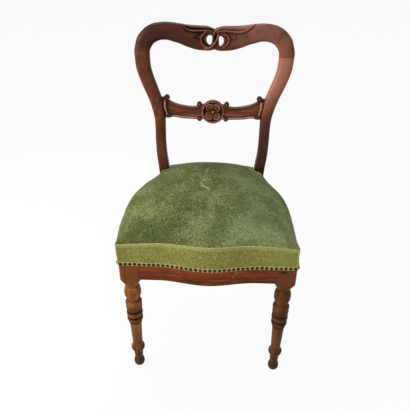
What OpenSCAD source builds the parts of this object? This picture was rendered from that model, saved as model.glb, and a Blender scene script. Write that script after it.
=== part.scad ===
// Balloon back side chair with a sprung, stuffed-over seat.
// The front faces -Y, the floor is z = 0 and the origin is the middle of the footprint.

/* [Back] */
// Height of the crest above the floor
overall_h = 868; // [820:1:920]
// Width across the shoulders
back_w = 455; // [420:1:500]
// Lean of the back from upright, in degrees
rake = 12.6; // [8:0.1:16]
// Width of a post at the waist, seen from the front
post_w = 31; // [28:1:36]
// Width of a post at the shoulder
shoulder_w = 43; // [38:1:48]
// Depth of a post at the seat, front to back
post_d = 34; // [31:1:38]
// Depth of the crest and of the upper posts
crest_d = 26; // [22:1:30]
// Height of the crest rail above its joints with the posts, along the lean
crest_h = 90.5; // [84:0.5:98]

/* [Cross rail] */
// Place of the cross rail's middle, as a share of the way up to the crest's joints
splat_place_share = 0.535; // [0.5:0.005:0.58]
// Height of the cross rail's plain band
splat_h = 37; // [32:1:42]
// Thickness of the cross rail
splat_t = 14; // [11:1:17]
// Diameter of the medallion
medallion_d = 68; // [60:1:76]
// Thickness of the medallion
medallion_t = 20; // [16:1:24]

/* [Seat frame] */
// Width across the cushion at its widest
seat_w = 452; // [430:1:480]
// Distance from a front leg's axis back to a post's axis
leg_to_post = 373; // [350:1:400]
// Height of the underside of the seat rails
rail_z = 355.5; // [345:0.5:370]
// Height of the seat rails themselves
rail_h = 66.5; // [58:0.5:72]
// Thickness of the seat rails
rail_t = 28; // [24:1:31]
// Bow of the serpentine front
bow = 16; // [10:1:22]
// Half of the width over which the front bows out
bow_reach = 125; // [100:1:150]

/* [Front legs] */
// Side of the square block on top of a front leg
leg_block = 50; // [46:1:54]
// Largest radius of the turning
turn_r = 22.3; // [20:0.1:24]
// Rounding of the block's outer front edge
block_round = 8; // [5:1:11]
// Height from the start of the block's chamfer to the rails
block_drop = 35.5; // [30:0.5:42]

/* [Back legs] */
// Width and depth of a back foot
foot_w = 26; // [22:1:30]
// Distance that the back leg sweeps rearward
foot_sweep = 90; // [60:1:95]

/* [Upholstery] */
// Height of the front border's upper edge above the rails, at the corners
front_edge_h = 47; // [40:1:54]
// Extra height of that edge at its middle
front_rise = 12; // [6:1:16]
// Height of the cushion's edge above the rails, beside the posts
rear_edge_h = 39; // [34:1:46]
// Extra height of the rear edge at its middle
rear_rise = 14; // [6:1:18]
// Height of the crown above the rails
crown_h = 72; // [66:1:84]
// Height of the rail's face that the cover laps over
cover_lap = 19; // [15:1:24]
// Thickness of the velvet with its lining
cover_t = 1.8; // [1.4:0.1:2.4]
// Distance that the cover draws in at its lower edge
pull_in = 1.5; // [0.5:0.1:3]

/* [Nails and springs] */
// Diameter of a nail's head
nail_d = 9.6; // [9:0.1:11.2]
// Distance from one nail to the next
nail_pitch = 11.7; // [11.5:0.1:15]
// Radius of a spring's end coils
spring_r = 35; // [30:1:38]
// Diameter of the spring wire
wire_d = 3.6; // [3:0.1:4]
// Turns in one spring
spring_turns = 4.5; // [3.5:1:5.5]

/* [Hidden] */

$fn = 48;
gap = 0.3; // clearance of cloth and of laid pieces
joint_gap = 0.1; // clearance of glued joints
over = 3; // how far a cut runs past what it cuts

// Finishes
carved_wood = "#5a2f1c";
rail_wood = "#6b3518";
leg_wood = "#7a4a22";
plain_wood = "#c49a62";
steel = "#8d8f92";
velvet = "#65783a";
border_velvet = "#969c4c";
bronze = "#4a3318";
jute = "#b59a63";
cotton = "#1d1b19";

// Places that everything shares
half_w = back_w / 2;
rail_top = rail_z + rail_h;
bend_z = rail_top + over; // a post is upright up to here, then bends into the lean
root_h = 22; // from the rails up to the point where the lean starts
root_z = rail_top + root_h;
back_h = (overall_h - root_z) / cos(rake);
joint_s = back_h - crest_h;
splat_s = splat_place_share * joint_s;
stack = pull_in + cover_t + gap; // from the widest cushion line in to the rails
nail_proud = 4.7; // cover and nail head in front of the rail
front_reach = leg_block / 2 + bow + nail_proud;
depth = front_reach + leg_to_post + back_h * sin(rake) + crest_d / 2 * cos(rake);
leg_y = front_reach - depth / 2;
leg_x = seat_w / 2 - stack - leg_block / 2;
block_in = leg_x - leg_block / 2;
block_out = leg_x + leg_block / 2;
front_y = leg_y - leg_block / 2;
block_back = leg_y + leg_block / 2;
post_y = leg_y + leg_to_post;
post_front = post_y - post_d / 2;
post_back = post_y + post_d / 2;

// Small maths
function clamp01(t) = max(0, min(1, t));
function smooth(t) = let (u = clamp01(t)) u * u * (3 - 2 * u);
function mix(a, b, t) = a + (b - a) * t;
function unit(v) = v / norm(v);
function pick(p, i) = p[max(0, min(len(p) - 1, i))];
function spline4(a, b, c, d, t) =
    (2 * b + (c - a) * t + (2 * a - 5 * b + 4 * c - d) * t * t + (3 * b - a - 3 * c + d) * t * t * t) / 2;
function curve(p, t) =
    let (i = min(floor(t), len(p) - 2))
    spline4(pick(p, i - 1), p[i], p[i + 1], pick(p, i + 2), t - i);
function curve_points(p, steps) = [for (k = [0 : (len(p) - 1) * steps]) curve(p, k / steps)];

// A closed skin over rings of points, with one point that closes each end
module skin(rings, first, last) {
    n = len(rings);
    m = len(rings[0]);
    points = concat([for (r = rings) for (p = r) p], [first, last]);
    sides = [for (j = [0 : n - 2]) for (i = [0 : m - 1])
        let (a = j * m + i, b = j * m + (i + 1) % m)
        for (f = [[a, a + m, b], [b, a + m, b + m]]) f];
    start = [for (i = [0 : m - 1]) [i, (i + 1) % m, n * m]];
    end = [for (i = [0 : m - 1]) [(n - 1) * m + (i + 1) % m, (n - 1) * m + i, n * m + 1]];
    polyhedron(points, concat(sides, start, end), convexity = 6);
}

// Section of a bar w wide and d deep, whose front edges are rounded by rf and rear edges by rb
function bar_section(w, d, rf, rb) = [for (q = [0 : 3]) for (a = [0 : 30 : 90])
    let (rear = q == 1 || q == 2, r = rear ? rb : rf, turn = 90 * (q - 1) + a)
    [(q < 2 ? 1 : -1) * (w / 2 - r) + r * cos(turn), (rear ? 1 : -1) * (d / 2 - r) + r * sin(turn)]];

// The leaning plane of the back: x across, s up along the lean, v towards the rear
function lean(x, s, v) =
    [x, post_y + s * sin(rake) + v * cos(rake), root_z + s * cos(rake) - v * sin(rake)];
module on_back(s) { translate(lean(0, s, 0)) rotate([90 - rake, 0, 0]) children(); }

// Back posts, each with its back leg
post_round_front = 10;
post_round_rear = 6;
leg_round = 3;
post_edge_shares = [ // up to the joint, and out from the middle
    [-0.063, 0.697], [0.047, 0.711], [0.163, 0.737], [0.279, 0.75], [0.395, 0.7535], [0.482, 0.763],
    [0.57, 0.794], [0.657, 0.84], [0.744, 0.899], [0.831, 0.951], [0.918, 0.987], [1.036, 1]
];
post_edge = curve_points(post_edge_shares, 6);
widen_from_share = 0.366; // of the way up to the joint, where a post starts to widen
widen_to_share = 0.808;
slim_share = 0.316; // where it has come down to the crest's depth
function post_out(s) = half_w * lookup(s / joint_s, post_edge);
function post_width(s) =
    mix(post_w, shoulder_w, smooth((s / joint_s - widen_from_share) / (widen_to_share - widen_from_share)));
function post_in(s) = post_out(s) - post_width(s);
seat_out = post_out(0);
seat_in = seat_out - post_w;
post_x = seat_out - post_w / 2;
leg_bend_drop = 12;
leg_bend_z = rail_z - leg_bend_drop; // the back leg sweeps rearward below here

leg_steps = 10;
back_steps = 26;
function level_ring(z, w, d, y, tilt, r1, r2) =
    [for (p = bar_section(w, d, r1, r2)) [post_x + p[0], y + p[1] * cos(tilt), z - p[1] * sin(tilt)]];
function leg_ring(k) =
    let (u = k / leg_steps, z = leg_bend_z * u, w = mix(foot_w, post_w, u), d = mix(foot_w, post_d, u))
    level_ring(z, w, d, post_y + foot_sweep * (1 - u) * (1 - u), 0, leg_round, leg_round);
function back_ring(s) =
    let (w = post_width(s), x = post_out(s) - w / 2, t = smooth(s / joint_s / slim_share),
        d = mix(post_d, crest_d, t), rf = mix(leg_round, post_round_front, t),
        rb = mix(leg_round, post_round_rear, t))
    [for (p = bar_section(w, d, rf, rb)) lean(x + p[0], s, p[1])];
bend_s = root_h / cos(rake); // where the bend ends, along the lean
bend_y = post_y + tan(rake) * root_h / 4;
post_rings = concat(
    [for (k = [0 : leg_steps]) leg_ring(k)],
    [for (z = [rail_z, rail_top, bend_z]) level_ring(z, post_w, post_d, post_y, 0, leg_round, leg_round)],
    [level_ring(root_z, post_w, post_d, bend_y, rake / 2, leg_round, leg_round)],
    [for (k = [0 : back_steps]) back_ring(mix(bend_s, joint_s, k / back_steps))]
);

module post_solid() {
    skin(post_rings, [post_x, post_y + foot_sweep, 0],
        lean(post_out(joint_s) - post_width(joint_s) / 2, joint_s, 0));
}

module back_post() {
    color(carved_wood) difference() {
        post_solid();
        splat_tenon(joint_gap);
        side_rear_tenon(joint_gap);
        back_tenon(joint_gap);
        crest_dowel_pair(joint_gap);
    }
}

module back_post_left() { mirror([1, 0, 0]) back_post(); }
module back_post_right() { back_post(); }

// Dowels in the shoulder joints
dowel_r = 4;
dowel_l = 38;
dowel_place_shares = [0.3, 0.72]; // of the shoulder's width, from its inner side

module crest_dowel_pair(extra) {
    for (share = dowel_place_shares)
        translate(lean(mix(post_in(joint_s), post_out(joint_s), share), joint_s, 0)) rotate([-rake, 0, 0])
            cylinder(h = dowel_l + 2 * extra, r = dowel_r + extra, center = true);
}

module crest_dowels() {
    color(plain_wood) {
        crest_dowel_pair(0);
        mirror([1, 0, 0]) crest_dowel_pair(0);
    }
}

// Crest rail: pairs of outer and inner edge points from the right shoulder joint to the middle
crest_steps = 2;
crest_outer_shares = [ // of half the back's width, and of the crest's height above the joint
    [1, 0.136], [0.982, 0.352], [0.95, 0.573], [0.873, 0.794], [0.803, 0.904], [0.741, 0.962],
    [0.623, 1], [0.526, 0.99], [0.439, 0.962], [0.329, 0.928], [0.219, 0.913], [0.11, 0.904],
    [0.053, 0.87], [0, 0.818]
];
crest_band_shares = [ // from the outer point in to the inner one, of the shoulder's width
    [1.03, 0], [1.033, 0.222], [1.055, 0.444], [0.933, 0.755], [0.778, 0.929], [0.644, 1.04],
    [0.267, 1.133], [0.111, 1.211], [0, 1.244], [0, 1.389], [0, 1.511], [0, 1.544],
    [0, 1.462], [0, 1.278]
];
crest_outer = concat([[post_out(joint_s), joint_s]],
    [for (p = crest_outer_shares) [p[0] * half_w, joint_s + p[1] * crest_h]]);
crest_inner = concat([[post_in(joint_s), joint_s]],
    [for (k = [0 : len(crest_outer_shares) - 1]) crest_outer[k + 1] - crest_band_shares[k] * shoulder_w]);
crest_outer_line = curve_points(crest_outer, crest_steps);
crest_inner_line = curve_points(crest_inner, crest_steps);
function crest_ring(k, side) =
    let (o = crest_outer_line[k], i = crest_inner_line[k], c = (o + i) / 2, u = unit(o - i))
    [for (p = bar_section(norm(o - i), crest_d, post_round_front, post_round_rear))
        lean(side * (c[0] + p[0] * u[0]), c[1] + p[0] * u[1], p[1])];
crest_last = len(crest_outer_line) - 1;
crest_rings = concat(
    [for (k = [0 : crest_last]) crest_ring(k, 1)],
    [for (k = [crest_last - 1 : -1 : 0]) crest_ring(k, -1)]
);

// Piercings: crescents between the two clasped links
piercing_w = 13;
piercing_h = 23;
piercing_s_share = 0.47; // of the crest's height above the joint
piercing_x_shares = [-1.2, 1.6]; // of a piercing's width, from the middle

module crest_piercing(side) {
    linear_extrude(crest_d + 2 * over, center = true) difference() {
        circle(d = piercing_h);
        translate([-side * (piercing_h - piercing_w), 0]) circle(d = piercing_h);
        translate([-side * piercing_h, 0]) square(piercing_h, center = true);
    }
}

module crest_rail() {
    o = crest_outer[0];
    i = crest_inner[0];
    color(carved_wood) difference() {
        skin(crest_rings, lean((o[0] + i[0]) / 2, joint_s, 0), lean(-(o[0] + i[0]) / 2, joint_s, 0));
        for (side = [-1, 1])
            on_back(joint_s + piercing_s_share * crest_h)
                translate([piercing_x_shares[side > 0 ? 1 : 0] * piercing_w, 0]) crest_piercing(side);
        crest_dowel_pair(joint_gap);
        mirror([1, 0, 0]) crest_dowel_pair(joint_gap);
    }
}

// Cross rail, with its medallion and scrolled ends
splat_x = post_in(splat_s);
splat_top_shares = [
    [0, 0.65], [0.15, 0.65], [0.21, 0.73], [0.24, 0.84], [0.275, 0.878], [0.326, 0.838], [0.344, 0.676],
    [0.362, 0.527], [0.435, 0.495], [0.507, 0.514], [0.58, 0.554], [0.652, 0.595], [0.725, 0.662],
    [0.797, 0.716], [0.884, 0.892], [0.94, 1.1], [0.99, 1.3]
];
splat_foot_shares = [
    [0.942, -0.486], [0.906, -0.473], [0.87, -0.392], [0.826, -0.332], [0.725, -0.392],
    [0.652, -0.451], [0.58, -0.468], [0.507, -0.478], [0.435, -0.492], [0.362, -0.5], [0.326, -0.54],
    [0.312, -0.676], [0.275, -0.735], [0.239, -0.676], [0.217, -0.568], [0.15, -0.5], [0, -0.5]
];
splat_end_shares = [1.2, 0.8, 0.4, 0, -0.25, -0.46];
splat_tenon_l = 14;
splat_tenon_t = 8;
splat_tenon_share = 0.7; // of the plain band's height
medallion_lift = 3.5; // above the band's middle

module splat_half() {
    top = [for (p = curve_points(splat_top_shares, 2)) [p[0] * splat_x, p[1] * splat_h]];
    end = [for (share = splat_end_shares) [post_in(splat_s + share * splat_h) - gap, share * splat_h]];
    foot = [for (p = curve_points(splat_foot_shares, 2)) [p[0] * splat_x, p[1] * splat_h]];
    polygon(concat(top, end, foot));
}

module splat_tenon(extra) {
    on_back(splat_s)
        translate([splat_x - over - extra, -splat_tenon_share * splat_h / 2 - extra, -splat_tenon_t / 2 - extra])
        cube([splat_tenon_l + over + 2 * extra, splat_tenon_share * splat_h + 2 * extra, splat_tenon_t + 2 * extra]);
}

// Medallion: a turned disc with a double raised rim and a four-petalled flower
rim_profile_shares = [
    [0, -0.5], [0.94, -0.5], [1, -0.4], [1, 0.3], [0.97, 0.45], [0.9, 0.5], [0.83, 0.45], [0.8, 0.3],
    [0.79, 0.24], [0.775, 0.32], [0.755, 0.34], [0.735, 0.3], [0.73, 0.2], [0, 0.2]
];
petal_share = 0.28; // radius of a petal, of the medallion's radius
petal_place_share = 0.44;
boss_share = 0.13;
floor_share = 0.2; // height of the flower's ground above the middle, of the thickness
petal_h_share = 0.24;
petal_taper_share = 0.7;
boss_place_share = 0.25;
boss_h_share = 0.3;

module medallion() {
    r = medallion_d / 2;
    rotate_extrude($fn = 72) polygon([for (p = rim_profile_shares) [p[0] * r, p[1] * medallion_t]]);
    for (a = [45 : 90 : 315])
        rotate(a) translate([petal_place_share * r, 0, floor_share * medallion_t - joint_gap])
            cylinder(h = petal_h_share * medallion_t, r1 = petal_share * r,
                r2 = petal_taper_share * petal_share * r, $fn = 32);
    rotate(45) translate([0, 0, boss_place_share * medallion_t])
        cube([2 * boss_share * r, 2 * boss_share * r, boss_h_share * medallion_t], center = true);
}

module splat_rail() {
    color(carved_wood) union() {
        on_back(splat_s) linear_extrude(splat_t, center = true) union() {
            splat_half();
            mirror([1, 0]) splat_half();
        }
        on_back(splat_s + medallion_lift) medallion();
        splat_tenon(0);
        mirror([1, 0, 0]) splat_tenon(0);
    }
}

// Front legs: a turned leg under a square block
turn_h = rail_z - block_drop;
turning_shares = [
    [[0, 0.426], [0.016, 0.61], [0.041, 0.69], [0.069, 0.641], [0.094, 0.529], [0.113, 0.511], [0.141, 0.538]],
    [[0.144, 0.57], [0.163, 0.57]],
    [[0.164, 0.552], [0.188, 0.6], [0.21, 0.76], [0.228, 0.85], [0.245, 0.85], [0.258, 0.77], [0.272, 0.65]],
    [[0.275, 0.622], [0.325, 0.622], [0.438, 0.673], [0.55, 0.72]],
    [[0.553, 0.78], [0.57, 0.78]],
    [[0.573, 0.8], [0.59, 0.9], [0.61, 0.965], [0.627, 0.93], [0.637, 0.82]],
    [[0.639, 0.82], [0.652, 0.945], [0.674, 0.985], [0.694, 0.945], [0.707, 0.82]],
    [[0.709, 0.82], [0.724, 0.94], [0.75, 0.985], [0.775, 0.965], [0.8, 1], [0.81, 0.94]],
    [[0.813, 0.8], [0.822, 0.69], [0.833, 0.65], [0.847, 0.7]],
    [[0.85, 0.726], [0.869, 0.879], [0.891, 0.973], [0.913, 1], [0.938, 0.982], [0.963, 0.915], [0.981, 0.803]],
    [[0.984, 0.717], [1, 0.7]]
];
turning = [for (part = turning_shares) for (p = curve_points(part, 3)) [p[1] * turn_r, p[0] * turn_h]];
chamfer_r = 16; // radius at which the block's chamfer starts
chamfer_spread_share = 0.55; // of the chamfer's height that it spreads outward
chamfer_end_r = leg_block; // past the block's corners

module front_leg() {
    color(leg_wood) translate([leg_x, leg_y, 0]) difference() {
        union() {
            rotate_extrude($fn = 64) polygon(concat([[0, 0]], turning, [[0, turn_h]]));
            intersection() {
                translate([0, 0, turn_h]) linear_extrude(rail_top - turn_h) block_plan();
                rotate_extrude($fn = 64) polygon([
                    [0, turn_h - joint_gap], [chamfer_r, turn_h - joint_gap],
                    [chamfer_end_r, turn_h + (chamfer_end_r - chamfer_r) / chamfer_spread_share],
                    [chamfer_end_r, rail_top], [0, rail_top]
                ]);
            }
        }
        translate([-leg_x, -leg_y, 0]) {
            front_tenon(joint_gap);
            side_front_tenon(joint_gap);
        }
    }
}

module block_plan() {
    far = leg_block / 2;
    difference() {
        square(leg_block, center = true);
        translate([far - block_round, -far - over]) square([block_round + over, block_round + over]);
    }
    translate([far - block_round, -far + block_round]) circle(r = block_round);
}

module front_leg_left() { mirror([1, 0, 0]) front_leg(); }
module front_leg_right() { front_leg(); }

// The rails' outer line in plan, from the front middle round the right side to the rear middle
rear_set = 2; // the back rail lies this far inside the posts' rear faces
centre_share = 0.456; // of the distance from leg to post
centre = [0, leg_y + centre_share * leg_to_post];
rail_rear_y = post_back - rear_set;
front_x_shares = [0, 0.14, 0.29, 0.44, 0.58, 0.79]; // of the way out to the rounded corner
corner_turn = 30; // the corner is a polygon around its arc, with a side every so many degrees
side_shares = [[1, 0.0965], [0.985, 0.268], [0.945, 0.442], [0.83, 0.588], [0.577, 0.727], [0.248, 0.86], [0.05, 0.95]];
rear_shares = [[0.884, 0.75], [0.667, 0.92], [0.351, 1], [0, 1]];
function front_face(x) = front_y - bow * smooth(1 - abs(x) / bow_reach);
corner_x = block_out - block_round;
front_line = [for (share = front_x_shares) [corner_x * share, front_face(corner_x * share)]];
corner_r = block_round / cos(corner_turn / 2);
corner_line = [for (a = [corner_turn / 2 - 90 : corner_turn : 0])
    [corner_x + corner_r * cos(a), front_y + block_round + corner_r * sin(a)]];
side_line = curve_points(concat([[block_out, front_y + block_round]],
    [for (p = side_shares) [mix(post_x, block_out, p[0]), leg_y + p[1] * leg_to_post]],
    [for (p = rear_shares) [p[0] * post_x, mix(post_y, rail_rear_y, p[1])]]), 2);
half_line = concat(front_line, corner_line, side_line);
half_last = len(half_line) - 1;
rail_line = concat(half_line, [for (k = [half_last - 1 : -1 : 1]) [-half_line[k][0], half_line[k][1]]]);
function seat_line(out) = [for (p = rail_line) p + unit(p - centre) * out];
function half_seat_line(out) = [for (p = half_line) p + unit(p - centre) * out];
inner_side = [for (p = side_line) p - unit(p - centre) * rail_t];
function inner_x(y) = lookup(y, [for (p = inner_side) [p[1], p[0]]]);

module band(out, inset) {
    difference() {
        polygon(seat_line(out));
        polygon(seat_line(-inset));
    }
}

// Tenons of the seat rails
tenon_t = 10;
tenon_h_share = 0.62; // of a rail's height
tenon_l = 20;
rear_tenon_l = 15;
tenon_z = rail_z + rail_h * (1 - tenon_h_share) / 2;
side_tenon_x = block_out - rail_t / 2;
rear_tenon_place_share = 0.32; // of the post's width, from its inner side
back_tenon_place_share = 0.45; // from the post's axis to the back rail's rear face
rear_tenon_x = mix(seat_in, seat_out, rear_tenon_place_share);
back_tenon_y = mix(post_y, rail_rear_y, back_tenon_place_share);

module tenon(from, size, extra) {
    translate(from - [extra, extra, extra]) cube(size + 2 * [extra, extra, extra]);
}

module front_tenon(extra) {
    tenon([block_in - over, front_y + rail_t / 2 - tenon_t / 2, tenon_z],
        [tenon_l + over, tenon_t, rail_h * tenon_h_share], extra);
}

module side_front_tenon(extra) {
    tenon([side_tenon_x - tenon_t / 2, block_back - tenon_l, tenon_z],
        [tenon_t, tenon_l + over, rail_h * tenon_h_share], extra);
}

module side_rear_tenon(extra) {
    tenon([rear_tenon_x - tenon_t / 2, post_front - over, tenon_z],
        [tenon_t, rear_tenon_l + over, rail_h * tenon_h_share], extra);
}

module back_tenon(extra) {
    tenon([seat_in - over, back_tenon_y - tenon_t / 2, tenon_z],
        [tenon_l + over, tenon_t, rail_h * tenon_h_share], extra);
}

module front_seat_rail() {
    end_x = block_in - joint_gap;
    half = concat([for (p = front_line) if (p[0] < end_x) p], [[end_x, front_y]]);
    outer = concat([for (k = [len(half) - 1 : -1 : 1]) [-half[k][0], half[k][1]]], half);
    inner = [for (k = [len(outer) - 1 : -1 : 0]) outer[k] + [0, rail_t]];
    color(rail_wood) difference() {
        union() {
            translate([0, 0, rail_z]) linear_extrude(rail_h) polygon(concat(outer, inner));
            front_tenon(0);
            mirror([1, 0, 0]) front_tenon(0);
        }
        for (side = [0, 1]) mirror([side, 0, 0]) front_screw_hole();
    }
}

module side_seat_rail() {
    color(rail_wood) difference() {
        union() {
            translate([0, 0, rail_z]) linear_extrude(rail_h) intersection() {
                band(0, rail_t);
                translate([seat_in, block_back + joint_gap])
                    square([block_out, post_front - block_back - 2 * joint_gap]);
            }
            side_front_tenon(0);
            side_rear_tenon(0);
        }
        side_front_screw_hole();
        side_rear_screw_hole();
    }
}

module side_seat_rail_left() { mirror([1, 0, 0]) side_seat_rail(); }
module side_seat_rail_right() { side_seat_rail(); }

module back_seat_rail() {
    width = 2 * (seat_in - joint_gap);
    color(rail_wood) difference() {
        union() {
            translate([0, 0, rail_z]) linear_extrude(rail_h) intersection() {
                polygon(seat_line(0));
                translate([-width / 2, rail_rear_y - rail_t]) square([width, rail_t + over]);
            }
            back_tenon(0);
            mirror([1, 0, 0]) back_tenon(0);
        }
        for (side = [0, 1]) mirror([side, 0, 0]) back_screw_hole();
    }
}

// Corner blocks and their screws
block_reach = 45; // length of a front corner block along each rail
rear_block_reach = 62; // length of a rear corner block along the back rail
rear_side_reach = 75; // distance that it reaches forward of the post
block_low = 8; // up from the rails' underside
block_high = 12; // down from the rails' top
screw_r = 2;
screw_head_r = 4;
screw_head_h = 2.4;
screw_bite = 20; // length in the rail
screw_seat = 11; // wood of the corner block under the screw's head
screw_z = rail_z + rail_h / 2;
cross_screw_place_share = 0.45; // of a block's reach along the front or back rail
side_screw_place_share = 0.4; // of a front block's reach along the side rail
screw_offset = 9; // the two screws of a corner pass each other at different heights
front_rail_in = front_y + rail_t;
back_rail_in = rail_rear_y - rail_t;
rear_reach_y = post_front - rear_side_reach;
rear_turn_y = lookup(seat_in, [for (k = [len(inner_side) - 1 : -1 : 0]) [inner_side[k][0], inner_side[k][1]]]);
rear_screw_y = mix(rear_reach_y, rear_turn_y, 0.5);
rear_face = unit([inner_x(rear_reach_y) - seat_in, rear_reach_y - rear_turn_y]);
rear_screw_turn = atan2(rear_face[0], -rear_face[1]);

module front_corner_plan() {
    side_x = inner_x(block_back + over) - gap;
    polygon([
        [block_in - block_reach, front_rail_in + gap], [block_in - gap, front_rail_in + gap],
        [block_in - gap, block_back + gap], [side_x, block_back + gap],
        [inner_x(block_back + block_reach) - gap, block_back + block_reach]
    ]);
}

module rear_corner_plan() {
    polygon(concat(
        [[seat_in - rear_block_reach, back_rail_in - gap], [inner_x(rear_reach_y) - gap, rear_reach_y]],
        [for (p = inner_side) if (p[1] > rear_reach_y && p[1] < rear_turn_y) p - unit(p - centre) * gap],
        [[seat_in - gap, rear_turn_y - gap], [seat_in - gap, back_rail_in - gap]]
    ));
}

module corner_block_solid() {
    translate([0, 0, rail_z + block_low]) linear_extrude(rail_h - block_low - block_high) children();
}

// A screw lies along +X from its seat, and its hole is opened behind the head
module screw_at(x, y, z, turn) { translate([x, y, z]) rotate([0, 0, turn]) rotate([0, 90, 0]) children(); }
module at_front_screw() {
    screw_at(block_in - block_reach * cross_screw_place_share, front_rail_in + screw_seat, screw_z + screw_offset, -90) children();
}
module at_side_front_screw() {
    y = block_back + block_reach * side_screw_place_share;
    screw_at(inner_x(y) - screw_seat, y, screw_z - screw_offset, 0) children();
}
module at_side_rear_screw() {
    aim = [cos(rear_screw_turn), sin(rear_screw_turn)];
    seat = [inner_x(rear_screw_y), rear_screw_y] - aim * screw_seat;
    screw_at(seat[0], seat[1], screw_z - screw_offset, rear_screw_turn) children();
}
module at_back_screw() {
    screw_at(seat_in - rear_block_reach * cross_screw_place_share, back_rail_in - screw_seat,
        screw_z + screw_offset, 90) children();
}
module screw_shank(extra) { cylinder(h = screw_seat + screw_bite + extra, r = screw_r + extra); }
module screw_hole() {
    screw_shank(joint_gap);
    translate([0, 0, -2 * block_reach]) cylinder(h = 2 * block_reach, r = screw_head_r + gap);
}
module front_screw_hole() { at_front_screw() screw_shank(joint_gap); }
module side_front_screw_hole() { at_side_front_screw() screw_shank(joint_gap); }
module side_rear_screw_hole() { at_side_rear_screw() screw_shank(joint_gap); }
module back_screw_hole() { at_back_screw() screw_shank(joint_gap); }

module screw() {
    screw_shank(0);
    translate([0, 0, -screw_head_h]) cylinder(h = screw_head_h, r1 = screw_head_r * 0.7, r2 = screw_head_r);
}

module front_corner_block() {
    color(plain_wood) difference() {
        corner_block_solid() front_corner_plan();
        at_front_screw() screw_hole();
        at_side_front_screw() screw_hole();
    }
}

module rear_corner_block() {
    color(plain_wood) difference() {
        corner_block_solid() rear_corner_plan();
        at_side_rear_screw() screw_hole();
        at_back_screw() screw_hole();
    }
}

module corner_block_front_left() { mirror([1, 0, 0]) front_corner_block(); }
module corner_block_front_right() { front_corner_block(); }
module corner_block_rear_left() { mirror([1, 0, 0]) rear_corner_block(); }
module corner_block_rear_right() { rear_corner_block(); }

module corner_block_screws() {
    color(steel) for (side = [0, 1]) mirror([side, 0, 0]) {
        at_front_screw() screw();
        at_side_front_screw() screw();
        at_side_rear_screw() screw();
        at_back_screw() screw();
    }
}

// Webbing under the rails, woven where the straps cross
strap_w = 50;
strap_t = 1.2;
weave = 1; // half the height between two straps that cross
strap_margin = 8; // from a rail's outer face to a strap's end
strap_x_share = 0.365; // of the leg spacing's half
strap_y_shares = [0.27, 0.47, 0.67]; // of the distance from leg to post
strap_xs = [-strap_x_share * leg_x, 0, strap_x_share * leg_x];
strap_ys = [for (share = strap_y_shares) leg_y + share * leg_to_post];
strap_z = rail_z - gap - strap_t / 2;

function wave(at, centres, sign) = let (hits = [for (k = [0 : len(centres) - 1])
    (k % 2 == 0 ? sign : -sign) * weave * smooth(2 - abs(at - centres[k]) / strap_w * 2)]) hits[0] + hits[1] + hits[2];

module strap(from, to, centres, sign) {
    steps = 36;
    line = [for (k = [0 : steps]) let (a = mix(from, to, k / steps)) [a, strap_z + wave(a, centres, sign)]];
    rotate([90, 0, 0]) linear_extrude(strap_w, center = true) polygon(concat(
        [for (p = line) [p[0], p[1] - strap_t / 2]], [for (k = [steps : -1 : 0]) [line[k][0], line[k][1] + strap_t / 2]]));
}

side_outer = [for (p = side_line) [p[1], p[0]]];
function strap_end_x(y) = lookup(y, side_outer) - strap_margin;
strap_y0 = front_y + strap_margin;
strap_y1 = rail_rear_y - strap_margin;

module webbing_lengthwise() {
    color(jute) for (k = [0 : 2]) translate([strap_xs[k], 0, 0]) rotate([0, 0, 90])
        strap(strap_y0, strap_y1, strap_ys, k % 2 == 0 ? 1 : -1);
}

module webbing_crosswise() {
    color(jute) for (k = [0 : 2]) translate([0, strap_ys[k], 0])
        strap(-strap_end_x(strap_ys[k]), strap_end_x(strap_ys[k]), strap_xs, k % 2 == 0 ? -1 : 1);
}

// Tacks: a flat head with a short shank that points along +Z
tack_r = 3.2;
tack_h = 0.8;
tack_shank_r = 0.8;
tack_l = 9;
tack_place_shares = [-0.36, 0, 0.36]; // across a strap

module tack() {
    cylinder(h = tack_h, r = tack_r, $fn = 24);
    cylinder(h = tack_l, r1 = tack_shank_r, r2 = tack_shank_r / 2, $fn = 24);
}

tack_z = strap_z - strap_t / 2 - tack_h;
module webbing_tacks() {
    color(steel) for (share = tack_place_shares) {
        for (x = strap_xs) for (y = [strap_y0 + strap_margin, strap_y1 - strap_margin])
            translate([x + share * strap_w, y, tack_z]) tack();
        for (y = strap_ys) for (side = [-1, 1])
            translate([side * (strap_end_x(y) - strap_margin), y + share * strap_w, tack_z]) tack();
    }
}

// Springs: hourglass coils on the webbing, tied down by laid cord
spring_z0 = strap_z + strap_t / 2 + gap + wire_d / 2;
spring_lift = 12;
spring_top = rail_top + spring_lift; // top of the springs, under the cord
spring_z1 = spring_top - wire_d / 2;
spring_waist_share = 0.32;
spring_steps = 12; // in one turn
spring_sides = 5;
flat_turn_share = 0.12; // of the coil's length that lies flat at each end
spring_places = [[strap_xs[0], strap_ys[0]], [strap_xs[2], strap_ys[0]], [0, strap_ys[1]],
    [strap_xs[0], strap_ys[2]], [strap_xs[2], strap_ys[2]]];
spring_pitch = (spring_z1 - spring_z0) / (spring_turns * (1 - flat_turn_share));
echo(least_gap_between_spring_turns = spring_pitch - wire_d);

function spring_ring(k, n) =
    let (t = k / n, a = 360 * spring_turns * t, mid = 1 - pow(2 * t - 1, 2),
        r = (spring_r - wire_d / 2) * (1 - spring_waist_share * mid),
        z = mix(spring_z0, spring_z1, mix(t, smooth(t), flat_turn_share * 4)))
    [for (q = [0 : spring_sides - 1]) let (b = 360 * q / spring_sides, w = wire_d / 2)
        [(r + w * cos(b)) * cos(a), (r + w * cos(b)) * sin(a), z - w * sin(b)]];

module seat_springs() {
    n = spring_turns * spring_steps;
    rings = [for (k = [0 : n]) spring_ring(k, n)];
    r = spring_r - wire_d / 2;
    a = 360 * spring_turns;
    color(steel) for (place = spring_places) translate([place[0], place[1], 0])
        skin(rings, [r, 0, spring_z0], [r * cos(a), r * sin(a), spring_z1]);
}

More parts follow.
